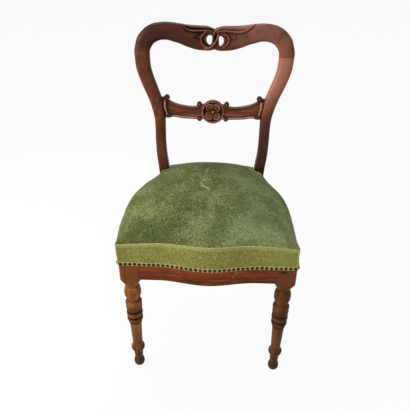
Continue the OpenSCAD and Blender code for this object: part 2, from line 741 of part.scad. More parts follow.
cord_d = 2.4;
cord_rise = 18; // from the tacked end on a rail's inner face up to the spring tops
cord_z = spring_top + gap + cord_d / 2;

module cord(points, across, up) {
    rings = [for (p = points) [for (q = [0 : 5])
        p + across * cos(60 * q) * cord_d / 2 + up * sin(60 * q) * cord_d / 2]];
    skin(rings, points[0], points[len(points) - 1]);
}

module spring_lashing() {
    low = cord_z - cord_rise;
    y0 = strap_ys[0] - spring_r;
    y1 = strap_ys[2] + spring_r;
    color(jute) {
        for (x = strap_xs)
            cord([[x, front_face(x) + rail_t + 2 * gap, low], [x, y0, cord_z], [x, y1, cord_z],
                [x, back_rail_in - 2 * gap, low]], [1, 0, 0], [0, 0, -1]);
        for (y = strap_ys) let (x0 = strap_xs[2] + spring_r, x1 = inner_x(y) - 3 * gap, z = cord_z + cord_d + gap)
            cord([[-x1, y, low], [-x0, y, z], [x0, y, z], [x1, y, low]], [0, 1, 0], [0, 0, 1]);
    }
}

// Hessian over the springs: flat on the rails, domed inside them
hessian_t = 1;
hessian_margin = 5; // its cut edge lies inside the rails' outer faces
hessian_rise = 28;
dome_steps = 5;
function dome_ring(z, rise, share) =
    [for (p = rail_line)
        let (rim = p - unit(p - centre) * rail_t, q = centre + (rim - centre) * (1 - share))
        [q[0], q[1], z + rise * (1 - pow(1 - share, 3))]];
function flat_ring(z, out) = [for (p = seat_line(out)) [p[0], p[1], z]];
hessian_z = rail_top + gap;

module post_notch(extra) {
    x = seat_in - extra;
    y = post_front - extra;
    for (side = [0, 1]) mirror([side, 0, 0])
        translate([x, y, rail_z]) cube([post_w * 2, post_d * 2, crown_h + rail_h]);
}

module spring_hessian() {
    under = [for (k = [dome_steps - 1 : -1 : 0]) dome_ring(hessian_z, hessian_rise, k / dome_steps)];
    upper = [for (k = [0 : dome_steps - 1]) dome_ring(hessian_z + hessian_t, hessian_rise, k / dome_steps)];
    rings = concat(under, [flat_ring(hessian_z, -hessian_margin), flat_ring(hessian_z + hessian_t, -hessian_margin)], upper);
    top = [centre[0], centre[1], hessian_z + hessian_rise];
    color(jute) difference() {
        skin(rings, top, top + [0, 0, hessian_t]);
        post_notch(gap);
    }
}

// Places spaced along the seat line, as [x, y, direction that faces outward]
function run(line) = [for (i = 0, d = 0; i < len(line); d = d + norm(pick(line, i + 1) - line[i]), i = i + 1) d];
function along(line, d) =
    let (at = run(line), xs = [for (i = [0 : len(line) - 1]) [at[i], line[i][0]]],
        ys = [for (i = [0 : len(line) - 1]) [at[i], line[i][1]]],
        dx = lookup(d + over, xs) - lookup(d - over, xs), dy = lookup(d + over, ys) - lookup(d - over, ys))
    [lookup(d, xs), lookup(d, ys), atan2(-dx, dy)];
function spaced(line, from, to, step) = [for (d = [from : step : to]) along(line, d)];

under_tack_pitch = 40;
hessian_tack_z = hessian_z + hessian_t + tack_h;
module hessian_tacks() {
    line = half_seat_line(-hessian_margin - strap_margin);
    color(steel) for (p = spaced(line, 0, run(line)[half_last], under_tack_pitch))
        if (p[0] < seat_in - tack_r || p[1] < post_front - 2 * tack_r)
            for (side = p[0] > over ? [0, 1] : [0]) mirror([side, 0, 0])
                translate([p[0], p[1], hessian_tack_z]) mirror([0, 0, 1]) tack();
}

// The cushion's section, as rings from its lower edge up over the edge and in to the crown
front_roll = 5;
side_roll = 20;
rear_roll = 14;
roll_angles = [30, 60, 90];
rear_from_share = 0.8; // of the way back, where the rear edge's roll begins
top_share_steps = [0.12, 0.3, 0.55, 0.8];
hem_z = rail_top - cover_lap;
crown_z = rail_top + crown_h;
function depth_share(p) = (p[1] - leg_y) / leg_to_post;
function frontness(p) = smooth(1 - (p[1] - front_y) / leg_block);
function rearness(p) = smooth((depth_share(p) - rear_from_share) / (1 - rear_from_share));
function rise_at(p) =
    let (t = smooth(depth_share(p)), reach = mix(block_out, seat_in, t), share = min(1, abs(p[0]) / reach))
    mix(front_rise, rear_rise, t) * (1 - share * share);
function edge_z(p) = rail_top + mix(front_edge_h, rear_edge_h, smooth(depth_share(p))) + rise_at(p);
function roll_at(p) = mix(mix(side_roll, rear_roll, rearness(p)), front_roll, frontness(p));

function cushion_ring(inset, lower, j) = [for (p = rail_line)
    let (
        out = unit(p - centre), reach = norm(p - centre) + stack - inset, roll = roll_at(p),
        top = edge_z(p) - lower, belly = edge_z(p) - roll - lower / 2, turn = pick(roll_angles, j - 3),
        share = pick(top_share_steps, j - 6),
        from_edge = j == 0 ? pull_in : j == 1 ? pull_in / 3 : j == 2 ? 0
            : j < 6 ? roll * (1 - cos(turn)) : mix(roll, reach, share),
        z = j == 0 ? hem_z : j == 1 ? mix(hem_z, belly, 0.5) : j == 2 ? belly
            : j < 6 ? mix(belly, top, sin(turn)) : mix(top, crown_z - lower, 1 - pow(1 - share, 2)),
        q = centre + out * (reach - from_edge)
    ) [q[0], q[1], z]];
cushion_last = 9;

module cover_shell() {
    inner = [for (j = [cushion_last : -1 : 0]) cushion_ring(cover_t, cover_t, j)];
    outer = [for (j = [0 : cushion_last]) cushion_ring(0, 0, j)];
    top = [centre[0], centre[1], crown_z];
    skin(concat(inner, outer), top - [0, 0, cover_t], top);
}

// The border is the cover's front, from the seam along its upper edge down to the nails
seam_gap = 0.3;
seam_x = corner_x + block_round * 0.7;
module border_zone(extra) {
    steps = 12;
    line = [for (k = [-steps : steps]) let (x = seam_x * k / steps)
        [x, edge_z([x, front_y]) - cover_t - 2 * gap - extra]];
    far = front_y + block_round;
    translate([0, far, 0]) rotate([90, 0, 0]) linear_extrude(bow + block_round + leg_block) polygon(concat(
        [[seam_x - extra, hem_z - over], [-seam_x + extra, hem_z - over]],
        [for (p = line) [min(max(p[0], -seam_x + extra), seam_x - extra), p[1]]]));
}

module velvet_top() {
    color(velvet) difference() {
        cover_shell();
        border_zone(0);
        post_notch(gap);
    }
}

module velvet_border() {
    color(border_velvet) intersection() {
        cover_shell();
        border_zone(seam_gap);
    }
}

// Stuffing between the hessian and the cover
module seat_stuffing() {
    rim_z = hessian_z + hessian_t + tack_h + gap;
    below = [for (k = [dome_steps - 1 : -1 : 0]) dome_ring(rim_z, hessian_rise, k / dome_steps)];
    skin_in = cover_t + gap;
    rim = [for (p = rail_line) let (q = p + unit(p - centre) * (stack - skin_in - pull_in)) [q[0], q[1], rim_z]];
    rings = concat(below, [rim], [for (j = [1 : cushion_last]) cushion_ring(skin_in, skin_in, j)]);
    color(jute) difference() {
        skin(rings, [centre[0], centre[1], rim_z + hessian_rise], [centre[0], centre[1], crown_z - skin_in]);
        post_notch(2 * gap);
    }
}

// Dome-headed nails along the cover's lower edge
nail_h = 2.6;
nail_shank_r = 0.8;
nail_l = 13;
nail_line_out = stack - pull_in;
nail_edge = 0.7; // cover that shows under a nail
nail_z = hem_z + nail_d / 2 + nail_edge;
nail_shares = [[1, 0], [0.97, 0.3], [0.82, 0.68], [0.5, 0.93], [0, 1]];
front_nails_a_side = floor((corner_x + block_round * 0.8) / nail_pitch + 0.5);

module nail() {
    head = [for (p = nail_shares) [p[0] * nail_d / 2, p[1] * nail_h]];
    rotate_extrude($fn = 24) polygon(concat([[0, -nail_l], [nail_shank_r, -nail_l * 0.8], [nail_shank_r, 0]], head));
}

module nail_row(places) {
    for (p = places) translate([p[0], p[1], nail_z]) rotate([0, 0, p[2]]) rotate([0, 90, 0])
        translate([0, 0, gap / 3]) nail();
}

nail_line = half_seat_line(nail_line_out);
nail_run = run(nail_line)[half_last];
function is_side_place(p) = p[1] < post_front - nail_d / 2 && p[0] > 0;
front_places = spaced(nail_line, nail_pitch / 2, nail_pitch * front_nails_a_side, nail_pitch);
side_places = [for (p = spaced(nail_line, nail_pitch * (front_nails_a_side + 0.5), nail_run, nail_pitch))
    if (is_side_place(p)) p];
rear_line = [for (k = [half_last : -1 : 0]) [-nail_line[k][0], nail_line[k][1]]];
rear_places = [for (p = spaced(rear_line, nail_pitch / 2, seat_in - nail_d / 2 - gap, nail_pitch)) p];

module front_nails() { color(bronze) for (side = [0, 1]) mirror([side, 0, 0]) nail_row(front_places); }
module side_nails_left() { color(bronze) mirror([1, 0, 0]) nail_row(side_places); }
module side_nails_right() { color(bronze) nail_row(side_places); }
module back_nails() { color(bronze) for (side = [0, 1]) mirror([side, 0, 0]) nail_row(rear_places); }

// Bottom cloth, tacked to the rails under the webbing
cloth_t = 0.8;
cloth_margin = 8;
cloth_z = strap_z - strap_t / 2 - weave - gap - cloth_t;
cloth_clear = 2;

module bottom_cloth() {
    color(cotton) translate([0, 0, cloth_z]) linear_extrude(cloth_t) difference() {
        polygon(seat_line(-cloth_margin));
        for (side = [0, 1]) mirror([side, 0]) {
            translate([block_in - cloth_clear, front_y - bow - over])
                square([leg_block * 2, leg_block + bow + over + cloth_clear]);
            translate([seat_in - cloth_clear, post_front - cloth_clear]) square([post_w * 2, post_d * 2]);
        }
    }
}

module bottom_cloth_tacks() {
    line = half_seat_line(-cloth_margin - 2 * tack_r);
    clear = tack_r + cloth_clear;
    color(steel) for (p = spaced(line, under_tack_pitch / 2, run(line)[half_last], under_tack_pitch))
        if ((p[0] < block_in - clear || p[1] > block_back + clear)
            && (p[0] < seat_in - clear || p[1] < post_front - clear))
            for (side = [0, 1]) mirror([side, 0, 0]) translate([p[0], p[1], cloth_z - tack_h]) tack();
}

crest_rail();
crest_dowels();
splat_rail();
back_post_left();
back_post_right();
front_leg_left();
front_leg_right();
front_seat_rail();
side_seat_rail_left();
side_seat_rail_right();
back_seat_rail();
corner_block_front_left();
corner_block_front_right();
corner_block_rear_left();
corner_block_rear_right();
corner_block_screws();
webbing_lengthwise();
webbing_crosswise();
webbing_tacks();
seat_springs();
spring_lashing();
spring_hessian();
hessian_tacks();
seat_stuffing();
velvet_top();
velvet_border();
front_nails();
side_nails_left();
side_nails_right();
back_nails();
bottom_cloth();
bottom_cloth_tacks();
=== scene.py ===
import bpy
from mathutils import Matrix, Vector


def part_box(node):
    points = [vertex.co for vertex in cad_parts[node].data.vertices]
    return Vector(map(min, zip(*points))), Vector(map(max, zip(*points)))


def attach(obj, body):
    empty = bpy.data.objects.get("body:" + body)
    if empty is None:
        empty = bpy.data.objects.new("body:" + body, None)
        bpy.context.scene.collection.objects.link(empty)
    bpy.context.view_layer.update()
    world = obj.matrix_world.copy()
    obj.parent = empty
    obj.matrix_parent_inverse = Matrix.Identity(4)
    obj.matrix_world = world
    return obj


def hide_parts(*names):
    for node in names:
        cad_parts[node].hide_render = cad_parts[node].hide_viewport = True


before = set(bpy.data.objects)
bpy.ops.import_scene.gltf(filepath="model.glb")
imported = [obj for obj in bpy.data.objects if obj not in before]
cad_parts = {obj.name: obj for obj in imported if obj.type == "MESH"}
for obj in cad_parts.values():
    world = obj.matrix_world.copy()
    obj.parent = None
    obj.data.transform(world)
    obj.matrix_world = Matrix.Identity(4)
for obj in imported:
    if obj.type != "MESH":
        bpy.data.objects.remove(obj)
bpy.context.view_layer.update()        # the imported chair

import math

import bmesh
import bpy
import numpy as np
from mathutils import Matrix, Vector
from mathutils.bvhtree import BVHTree

mm = 0.001
rootBody = "root"


def boxOf(node):
    # a node's two outer corners, in millimetres
    return [np.array(corner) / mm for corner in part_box(node)]


# Places read off the frame, in millimetres
legLow, legHigh = boxOf("front_leg_right")
railLow, railHigh = boxOf("front_seat_rail")
halfBack = boxOf("crest_rail")[1][0]
legBlock = legHigh[0] - legLow[0]
legX, legY = (legHigh[:2] + legLow[:2]) / 2
railZ, railTop = railLow[2], railHigh[2]
blockOut, frontY = legHigh[0], legLow[1]
sides = ((1, "right"), (-1, "left"))
tiny, farOff = 1e-9, 1e9

chair = {  # the rake is an angle, all else is in millimetres
    "rake": math.radians(12.6), "rootLift": 22, "legToPost": 373, "postWidth": 31, "postDepth": 34,
    "shoulderWidth": 43, "crestDepth": 26, "crestHeight": 90.5, "overallHeight": 868,
    "railThickness": 28, "blockRound": 8, "bow": 16, "bowReach": 125, "gap": 0.3,
}
postY = legY + chair["legToPost"]
rootZ = railTop + chair["rootLift"]
backHeight = (chair["overallHeight"] - rootZ) / math.cos(chair["rake"])
jointS = backHeight - chair["crestHeight"]


# Small maths

def smooth(t):
    t = np.clip(t, 0, 1)
    return t * t * (3 - 2 * t)


def mix(a, b, t):
    return a + (b - a) * t


def lengths(vectors):
    return np.linalg.norm(vectors, axis=1)


def unitOf(vectors):
    return vectors / lengths(vectors)[:, None]


def runOf(line):
    # how far along a line each of its points lies
    return np.concatenate([[0], np.cumsum(lengths(np.diff(line, axis=0)))])


def circle(side, up, around):
    # a ring of radius 1 across each pair of directions
    turn = np.linspace(0, 2 * math.pi, around, endpoint=False)[:, None]
    return np.cos(turn) * side[..., None, :] + np.sin(turn) * up[..., None, :]


def corners(width, depth, radii, steps):
    # a box seen end on, its corners rounded, from the front right one; a corner without a radius is left out
    points = []
    for x, y, start, r in zip((1, 1, -1, -1), (-1, 1, 1, -1), (-90, 0, 90, 180), radii):
        if r:
            for a in np.radians(start + np.linspace(0, 90, steps)):
                points.append((x * (width / 2 - r) + r * math.cos(a), y * (depth / 2 - r) + r * math.sin(a)))
    return points


def catmull(points, steps):
    # a smooth line through the points
    p = np.array(points, float)
    ends = np.vstack([p[:1], p, p[-1:]])
    line = []
    for i in range(len(p) - 1):
        a, b, c, d = ends[i:i + 4]
        for t in np.arange(steps) / steps:
            line.append((2 * b + (c - a) * t + (2 * a - 5 * b + 4 * c - d) * t ** 2
                         + (3 * b - a - 3 * c + d) * t ** 3) / 2)
    return np.array(line + [p[-1]])


def distanceTo(line, points):
    # distance from each 2-D point to an open line, or to a single place
    line, best = np.array(line, float), np.full(len(points), farOff)
    if len(line) == 1:
        return lengths(points - line[0])
    for a, b in zip(line[:-1], line[1:]):
        d = b - a
        t = np.clip((points - a) @ d / max(d @ d, tiny), 0, 1)
        best = np.minimum(best, lengths(points - a - t[:, None] * d))
    return best


def insideOf(outline, points):
    # whether each 2-D point is inside a closed outline
    x, y = points[:, 0], points[:, 1]
    inside = np.zeros(len(points), bool)
    for (ax, ay), (bx, by) in zip(outline, np.roll(outline, -1, axis=0)):
        crosses = (ay > y) != (by > y)
        inside ^= crosses & (x < (bx - ax) * (y - ay) / (by - ay + 1e-12) + ax)
    return inside


def insetOf(outline, points):
    # distance in from the outline, negative outside it
    closed = np.vstack([outline, outline[:1]])
    return np.where(insideOf(outline, points), 1, -1) * distanceTo(closed, points)


def ridge(distance, radius, height):
    # a rounded bead, or a hollow if height is negative
    return height * np.sqrt(np.clip(1 - (distance / radius) ** 2, 0, 1))


def waves(points, sizes, seed):
    # gentle smooth noise from a few sine waves, about -1 to 1
    random = np.random.default_rng(seed)
    total = np.zeros(len(points))
    for size in sizes:
        for _ in range(3):
            direction = random.normal(size=points.shape[1])
            direction /= np.linalg.norm(direction)
            total += np.sin(points @ direction * 2 * math.pi / size + random.uniform(0, 2 * math.pi))
    return total / (3 * len(sizes)) * 1.4


def leanPoint(x, s, v):
    # a place on the leaning back: across, up along the lean and towards the rear
    sin, cos = math.sin(chair["rake"]), math.cos(chair["rake"])
    x, s, v = np.broadcast_arrays(x, s, v)
    return np.stack([x, postY + s * sin + v * cos, rootZ + s * cos - v * sin], -1)


# Meshes

def pieceFrom(name, points, faces, look, node=None, slot=None, sharp=40, marks=None):
    mesh = bpy.data.meshes.new(name)
    mesh.from_pydata([tuple(p) for p in np.asarray(points) * mm], [], [tuple(map(int, f)) for f in faces])
    for mark, values in (marks or {}).items():
        mesh.attributes.new(mark, "FLOAT", "POINT").data.foreach_set("value", np.asarray(values, np.float32))
    mesh.validate()
    outward = bmesh.new()
    outward.from_mesh(mesh)
    bmesh.ops.recalc_face_normals(outward, faces=outward.faces)
    outward.to_mesh(mesh)
    outward.free()
    mesh.shade_smooth()
    mesh.set_sharp_from_angle(angle=math.radians(sharp))
    mesh.materials.append(look)
    piece = bpy.data.objects.new(name, mesh)
    bpy.context.scene.collection.objects.link(piece)
    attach(piece, rootBody)
    if node:
        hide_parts(*([node] if isinstance(node, str) else node))
    return piece


def applyModifiers(piece):
    ready = bpy.context.evaluated_depsgraph_get()
    mesh = bpy.data.meshes.new_from_object(piece.evaluated_get(ready), depsgraph=ready)
    piece.modifiers.clear()
    piece.data = mesh


def gridFaces(rows, columns):
    # faces of a grid of points, closed round its columns
    i, j = np.meshgrid(np.arange(rows - 1), np.arange(columns), indexing="ij")
    a, b = i * columns + j, i * columns + (j + 1) % columns
    return np.stack([a, a + columns, b + columns, b], -1).reshape(-1, 4).tolist()


def fanFaces(row, columns, tip):
    # triangles from a closed row of a grid to one more point
    return [[row * columns + j, row * columns + (j + 1) % columns, tip] for j in range(columns)]


def tubeOf(rings):
    # a closed skin over rings of points
    rows, columns = rings.shape[:2]
    faces = gridFaces(rows, columns)
    faces += [list(range(columns)), [(rows - 1) * columns + j for j in reversed(range(columns))]]
    return rings.reshape(-1, 3), faces


def plateOf(inset, low, high, cell):
    # marching squares: a flat mesh of everything with inset above zero, and its border edges
    xs, ys = [np.arange(a - cell, b + 2 * cell, cell) for a, b in zip(low, high)]
    gx, gy = np.meshgrid(xs, ys, indexing="ij")
    value = inset(np.stack([gx, gy], -1).reshape(-1, 2)).reshape(gx.shape)
    value[np.abs(value) < cell * 0.02] = cell * 0.02
    points, keys, faces, border = [], {}, [], []

    def corner(i, j):
        if (i, j) not in keys:
            keys[i, j] = len(points)
            points.append((xs[i], ys[j]))
        return keys[i, j]

    def crossing(a, b):
        key = (min(a, b), max(a, b))
        if key not in keys:
            t = value[a] / (value[a] - value[b])
            keys[key] = len(points)
            points.append((mix(xs[a[0]], xs[b[0]], t), mix(ys[a[1]], ys[b[1]], t)))
        return keys[key]

    some = (value[:-1, :-1] > 0) | (value[1:, :-1] > 0) | (value[:-1, 1:] > 0) | (value[1:, 1:] > 0)
    for i, j in zip(*np.nonzero(some)):
        square = [(i, j), (i + 1, j), (i + 1, j + 1), (i, j + 1)]
        face, cut = [], []
        for a, b in zip(square, square[1:] + square[:1]):
            if value[a] > 0:
                face.append(corner(*a))
            if (value[a] > 0) != (value[b] > 0):
                face.append(crossing(a, b))
                cut.append((len(face) - 1, value[a] > 0))
        faces.append(face)
        for place, leaving in cut:
            if leaving:
                border.append((face[place], face[(place + 1) % len(face)]))
    return np.array(points), faces, border


# Shader nodes: sums are written as sums

class Wire:
    def __init__(self, tree, socket):
        self.tree, self.socket = tree, socket

    def math(self, operation, *others):
        node = self.tree.nodes.new("ShaderNodeMath")
        node.operation = operation
        for place, value in enumerate((self, *others)):
            plug(self.tree, node.inputs[place], value)
        return Wire(self.tree, node.outputs[0])

    def __add__(self, other):
        return self.math("ADD", other)

    def __mul__(self, other):
        return self.math("MULTIPLY", other)

    def __rsub__(self, other):
        return (self * -1) + other

    __radd__, __rmul__ = __add__, __mul__

    def between(self, low, high):
        # 0 at low and beyond it, 1 at high and beyond, smooth between them; low may be the higher of the two
        node = self.tree.nodes.new("ShaderNodeMapRange")
        node.interpolation_type = "SMOOTHSTEP"
        for name, value in (("Value", self), ("From Min", low), ("From Max", high)):
            plug(self.tree, node.inputs[name], value)
        return Wire(self.tree, node.outputs["Result"])


def colour(text):
    # a colour as it shows on screen, given as six letters and digits
    parts = [int(text[i:i + 2], 16) / 255 for i in (0, 2, 4)]
    return tuple(p / 12.92 if p <= 0.04045 else ((p + 0.055) / 1.055) ** 2.4 for p in parts) + (1,)


def plug(tree, socket, value):
    if isinstance(value, Wire):
        tree.links.new(value.socket, socket)
    else:
        socket.default_value = colour(value) if isinstance(value, str) else value


class Look:
    def __init__(self, name, **constants):
        self.material = bpy.data.materials.new(name)
        self.material.use_nodes = True
        self.tree = self.material.node_tree
        self.shader = self.tree.nodes["Principled BSDF"]
        self.tone = None
        self.fit(**constants)

    def fit(self, **sockets):
        for socket, value in sockets.items():
            plug(self.tree, self.shader.inputs[socket.replace("_", " ")], value)
        return self.material

    def node(self, kind, settings=None, inputs=None, output=0):
        node = self.tree.nodes.new("ShaderNode" + kind)
        for setting, value in (settings or {}).items():
            setattr(node, setting, value)
        for socket, value in (inputs or {}).items():
            plug(self.tree, node.inputs[socket], value)
        return Wire(self.tree, node.outputs[output])

    def place(self, scale=(1, 1, 1), turn=(0, 0, 0)):
        # object coordinates, turned and then stretched
        here = self.node("TexCoord", output="Object")
        here = self.node("Mapping", inputs={"Vector": here, "Rotation": turn})
        return self.node("VectorMath", {"operation": "MULTIPLY"}, {0: here, 1: scale})

    def axis(self, letter):
        # one object coordinate, in metres
        here = self.node("TexCoord", output="Object")
        return self.node("SeparateXYZ", inputs={0: here}, output="xyz".index(letter))

    def noise(self, where, scale=1.0, detail=3.0, rough=0.5, bend=0.0):
        return self.node("TexNoise", inputs={"Vector": where, "Scale": scale, "Detail": detail,
                                             "Roughness": rough, "Distortion": bend})

    def mark(self, name):
        return self.node("Attribute", {"attribute_name": name}, output="Fac")

    def blend(self, amount, first, second):
        return self.node("Mix", {"data_type": "RGBA", "clamp_factor": True},
                         {0: amount, 6: first, 7: second}, output=2)

    def paint(self, amount, tone):
        # lay a colour over the tone so far
        self.tone = self.blend(amount, self.tone, tone)

    def spot(self, centre, radii, turn=(0, 0, 0), full=0.55, end=1.1):
        # 1 inside an ellipsoid, fading out over its edge
        there = self.node("Mapping", {"vector_type": "TEXTURE"}, {
            "Vector": self.node("TexCoord", output="Object"), "Location": [c * mm for c in centre],
            "Rotation": turn, "Scale": [r * mm for r in radii]})
        reach = self.node("VectorMath", {"operation": "LENGTH"}, {0: there}, output="Value")
        return 1 - reach.between(full, end)

    def bump(self, height, depth, strength=1.0):
        return self.node("Bump", inputs={"Height": height, "Distance": depth, "Strength": strength})


def paintZones(look, zones, **fields):
    # colours over parts of a piece: each comes in from the first value to the second of an axis or a field
    fields = {**{letter: look.axis(letter) for letter in "xyz"}, **fields}
    for tone, amount, reaches in zones:
        for name, (start, full) in reaches.items():
            amount = fields[name].between(start, full) * amount
        look.paint(amount, tone)


# Wood: grain along one direction, pores, worn edges with painted highlights, and dirt with painted shade in
# the hollows and along shaded edges

grainStretch = {"x": (0.06, 1, 1), "leanAcross": (0.06, 1, 1), "y": (1, 0.06, 1), "z": (1, 1, 0.06),
                "lean": (1, 1, 0.06)}


def woodLook(name, dark, middle, light, along, grain=1.0, rough=0.3, coat=0.3, streak=0.45, wearAndHighlightTone=None,
             extra=None):
    look = Look(name, Coat_Roughness=0.3, Coat_IOR=1.55, IOR=1.45, Specular_IOR_Level=0.06)
    turn = (-chair["rake"], 0, 0) if along.startswith("lean") else (0, 0, 0)
    where, whole = look.place(grainStretch[along], turn), look.place()
    flames = look.noise(where, 24 * grain, 4, 0.55, 0.9)
    lines = look.noise(where, 150 * grain, 4, 0.62, 0.4)
    fibre = look.noise(where, 700 * grain, 2, 0.6)
    patina = look.noise(whole, 13, 4, 0.6)
    rubbedAndLit = look.noise(whole, 160, 4, 0.7)
    dirt_and_shade, wear_and_highlight = look.mark("dirt_and_shade"), look.mark("wear_and_highlight")
    look.tone = look.blend(flames.between(0.3, 0.7), dark, middle)
    look.paint(lines.between(0.45, 0.7) * streak, light)
    look.paint(fibre.between(0.5, 0.75) * 0.35, dark)
    look.paint(patina.between(0.46, 0.68) * 0.5, dark)
    # dirt and painted shade in one dark tone, wherever the dirt and shade mark is set
    look.paint((dirt_and_shade * 0.95).between(0, 0.9), woodMarks["dirtAndShadeTone"])
    # worn edges and painted highlights on ridges and ring crests, in one pale tone
    look.paint(wear_and_highlight * rubbedAndLit.between(0.2, 0.55) * 0.85, wearAndHighlightTone or light)
    if extra:
        extra(look)
    roughness = rough + rubbedAndLit.between(0.3, 0.8) * 0.14 + dirt_and_shade * 0.3 + wear_and_highlight * 0.2
    polish = (1 - dirt_and_shade * 0.8) * (1 - wear_and_highlight * 0.8) * coat
    height = (1 - fibre.between(0.5, 0.8)) * 0.5 + (1 - lines.between(0.5, 0.8)) * 0.4 + rubbedAndLit * 0.25
    return look.fit(Base_Color=look.tone, Roughness=roughness, Coat_Weight=polish,
                    Normal=look.bump(height, 0.00012, 0.4))


crestJoint = leanPoint(0, jointS, 0)
woodMarks = {  # scratches, knot and their sizes in millimetres, zones in metres or in the value of a noise
    "dirtAndShadeTone": (0.008, 0.003, 0.002, 1), "knotTone": (0.012, 0.006, 0.004, 1),
    "knot": (legX - 9, frontY, railZ + 39), "knotRadii": (10, 6, 5),
    "scratches": ((70, 396, 0.5), (74.5, 391, 0.55), (64, 384, 0.35)), "scratchRadii": (1.1, 50, 8.5),
    # the first leg zone is painted shade on the right leg
    "leg": (("442410", 0.58, {"x": (-0.1, 0.1)}), ("7e472a", 0.5, {"z": (0.33, 0.36)})),
    "legRings": ((0.178, 0.184), (0.24, 0.256)),
    "foot": (("341b0c", 0.5, {"smudge": (0.5, 0.68), "z": (0.36, 0.33)}),
             ("2a271a", 0.62, {"z": (0.09, 0.07)})),
    # post zones: painted shade on the left shoulder, a painted sheen on the right one
    "post": (("3e1a0c", 0.35, {"z": (0.64, 0.72), "x": (-0.1, -0.2)}),
             ("c0836a", 0.62, {"z": (0.6, 0.72), "x": (0.1, 0.15)})),
    # crest zones: painted shade on the left, a painted sheen on the right
    "crest": (("220e05", 0.6, {"x": (0.02, -0.19)}), ("986858", 0.6, {"x": (0.0, 0.12)}),
              ("2a1008", 0.45, {"smudge": (0.48, 0.68)}),
              ("7c452c", 0.6, {"z": ((crestJoint[2] + 34) * mm, crestJoint[2] * mm)})),
}


def railMarks(look):
    # pale scratches on the front
    front = frontY - chair["bow"] * 0.5
    for x, z, turn in woodMarks["scratches"]:
        scratch = look.spot((x, front, z), woodMarks["scratchRadii"], (0, turn, 0), 0.5, 1)
        look.paint(scratch * 0.7, "c89a7c")


def legMarks(look):
    # a darker right leg as painted shade, a ruddy block with a knot, dark rings above the taper, smudges and
    # a dark foot
    paintZones(look, woodMarks["leg"])
    height, (low, high) = look.axis("z"), woodMarks["legRings"]
    rings = height.between(*low) * (1 - height.between(*high))
    look.paint(rings * (1 - look.mark("wear_and_highlight") * 0.7) * 0.55, "351a0f")
    paintZones(look, woodMarks["foot"], smudge=look.noise(look.place(), 60, 5, 0.65))
    look.paint(look.spot(woodMarks["knot"], woodMarks["knotRadii"]) * 0.9, woodMarks["knotTone"])


def postMarks(look):
    # painted shade near the seat, deeper on the right post, and on the left shoulder; a painted sheen on the
    # right shoulder
    lowDown = 1 - look.axis("z").between(0.55, 0.67)
    look.paint(lowDown * (look.axis("x").between(-0.1, 0.1) * 0.35 + 0.4), "26110a")
    paintZones(look, woodMarks["post"])


def crestMarks(look):
    # painted shade on the left, a painted sheen on the right, dark smudges, and like the posts towards the
    # joints
    paintZones(look, woodMarks["crest"], smudge=look.noise(look.place(), 34, 5, 0.65))


print("Making the finishes")
postWood = woodLook("post wood", "4b220e", "6f3819", "8f552e", "lean", grain=1.2, rough=0.26, extra=postMarks)
crestWood = woodLook("crest wood", "45200f", "5f301a", "7d4a2b", "leanAcross", grain=1.4, rough=0.34,
                     coat=0.2, wearAndHighlightTone="9c6f5c", extra=crestMarks)
crossWood = woodLook("cross rail wood", "4c2511", "7a4730", "a67457", "x", grain=1.2, rough=0.38,
                     coat=0.16, wearAndHighlightTone="c09c8c")
railWood = woodLook("seat rail wood", "4c1e0c", "86421f", "b0683a", "x", rough=0.34, coat=0.12, streak=0.75,
                    extra=railMarks)
sideRailWood = woodLook("side rail wood", "54240b", "7d4019", "95531f", "y", rough=0.34, coat=0.12)
legWood = woodLook("leg wood", "5e3413", "a96c31", "cc9450", "z", rough=0.4, coat=0.08, wearAndHighlightTone="9f7450",
                   extra=legMarks)
rawWood = woodLook("raw beech", "a67c4c", "c79e68", "d8b684", "x", rough=0.6, coat=0.0)


# Outlines of the back, as the frame has them

backShape = {  # shares of the joint's height and half width, of the crest's height and the shoulder's width
    "edgeShares": [
        (-0.063, 0.697), (0.047, 0.711), (0.163, 0.737), (0.279, 0.75), (0.395, 0.7535), (0.482, 0.763),
        (0.57, 0.794), (0.657, 0.84), (0.744, 0.899), (0.831, 0.951), (0.918, 0.987), (1.036, 1)],
    "outerShares": [
        (1, 0.136), (0.982, 0.352), (0.95, 0.573), (0.873, 0.794), (0.803, 0.904), (0.741, 0.962),
        (0.623, 1), (0.526, 0.99), (0.439, 0.962), (0.329, 0.928), (0.219, 0.913), (0.11, 0.904),
        (0.053, 0.87), (0, 0.818)],
    "bandShares": [
        (1.03, 0), (1.033, 0.222), (1.055, 0.444), (0.933, 0.755), (0.778, 0.929), (0.644, 1.04),
        (0.267, 1.133), (0.111, 1.211), (0, 1.244), (0, 1.389), (0, 1.511), (0, 1.544), (0, 1.462),
        (0, 1.278)],
    "widenFrom": 0.366, "widenTo": 0.808, "slimShare": 0.316, "dome": 2.3, "legDome": 9, "rearRound": 7,
    "legRound": 3.5, "sectionSteps": 8, "postAcross": 41, "footWidth": 26, "footSweep": 90, "bendDrop": 12,
    "legSteps": 30, "backSteps": 110, "bendSteps": (0.3, 0.55, 0.8), "jointGap": 0.15,
    "flankFrom": 0.7, "flankFade": 0.25, "flankShade": 0.3, "rootShade": 0.35, "rootTop": 62, "rootFade": 40,
    "rootFrom": 20, "jointWear": 0.42, "jointReach": 2.5, "bendLift": 3,
}
edgeLine = catmull(backShape["edgeShares"], 12)


def postOuter(s):
    return halfBack * np.interp(s / jointS, edgeLine[:, 0], edgeLine[:, 1])


def postWide(s):
    share = (s / jointS - backShape["widenFrom"]) / (backShape["widenTo"] - backShape["widenFrom"])
    return mix(chair["postWidth"], chair["shoulderWidth"], smooth(share))


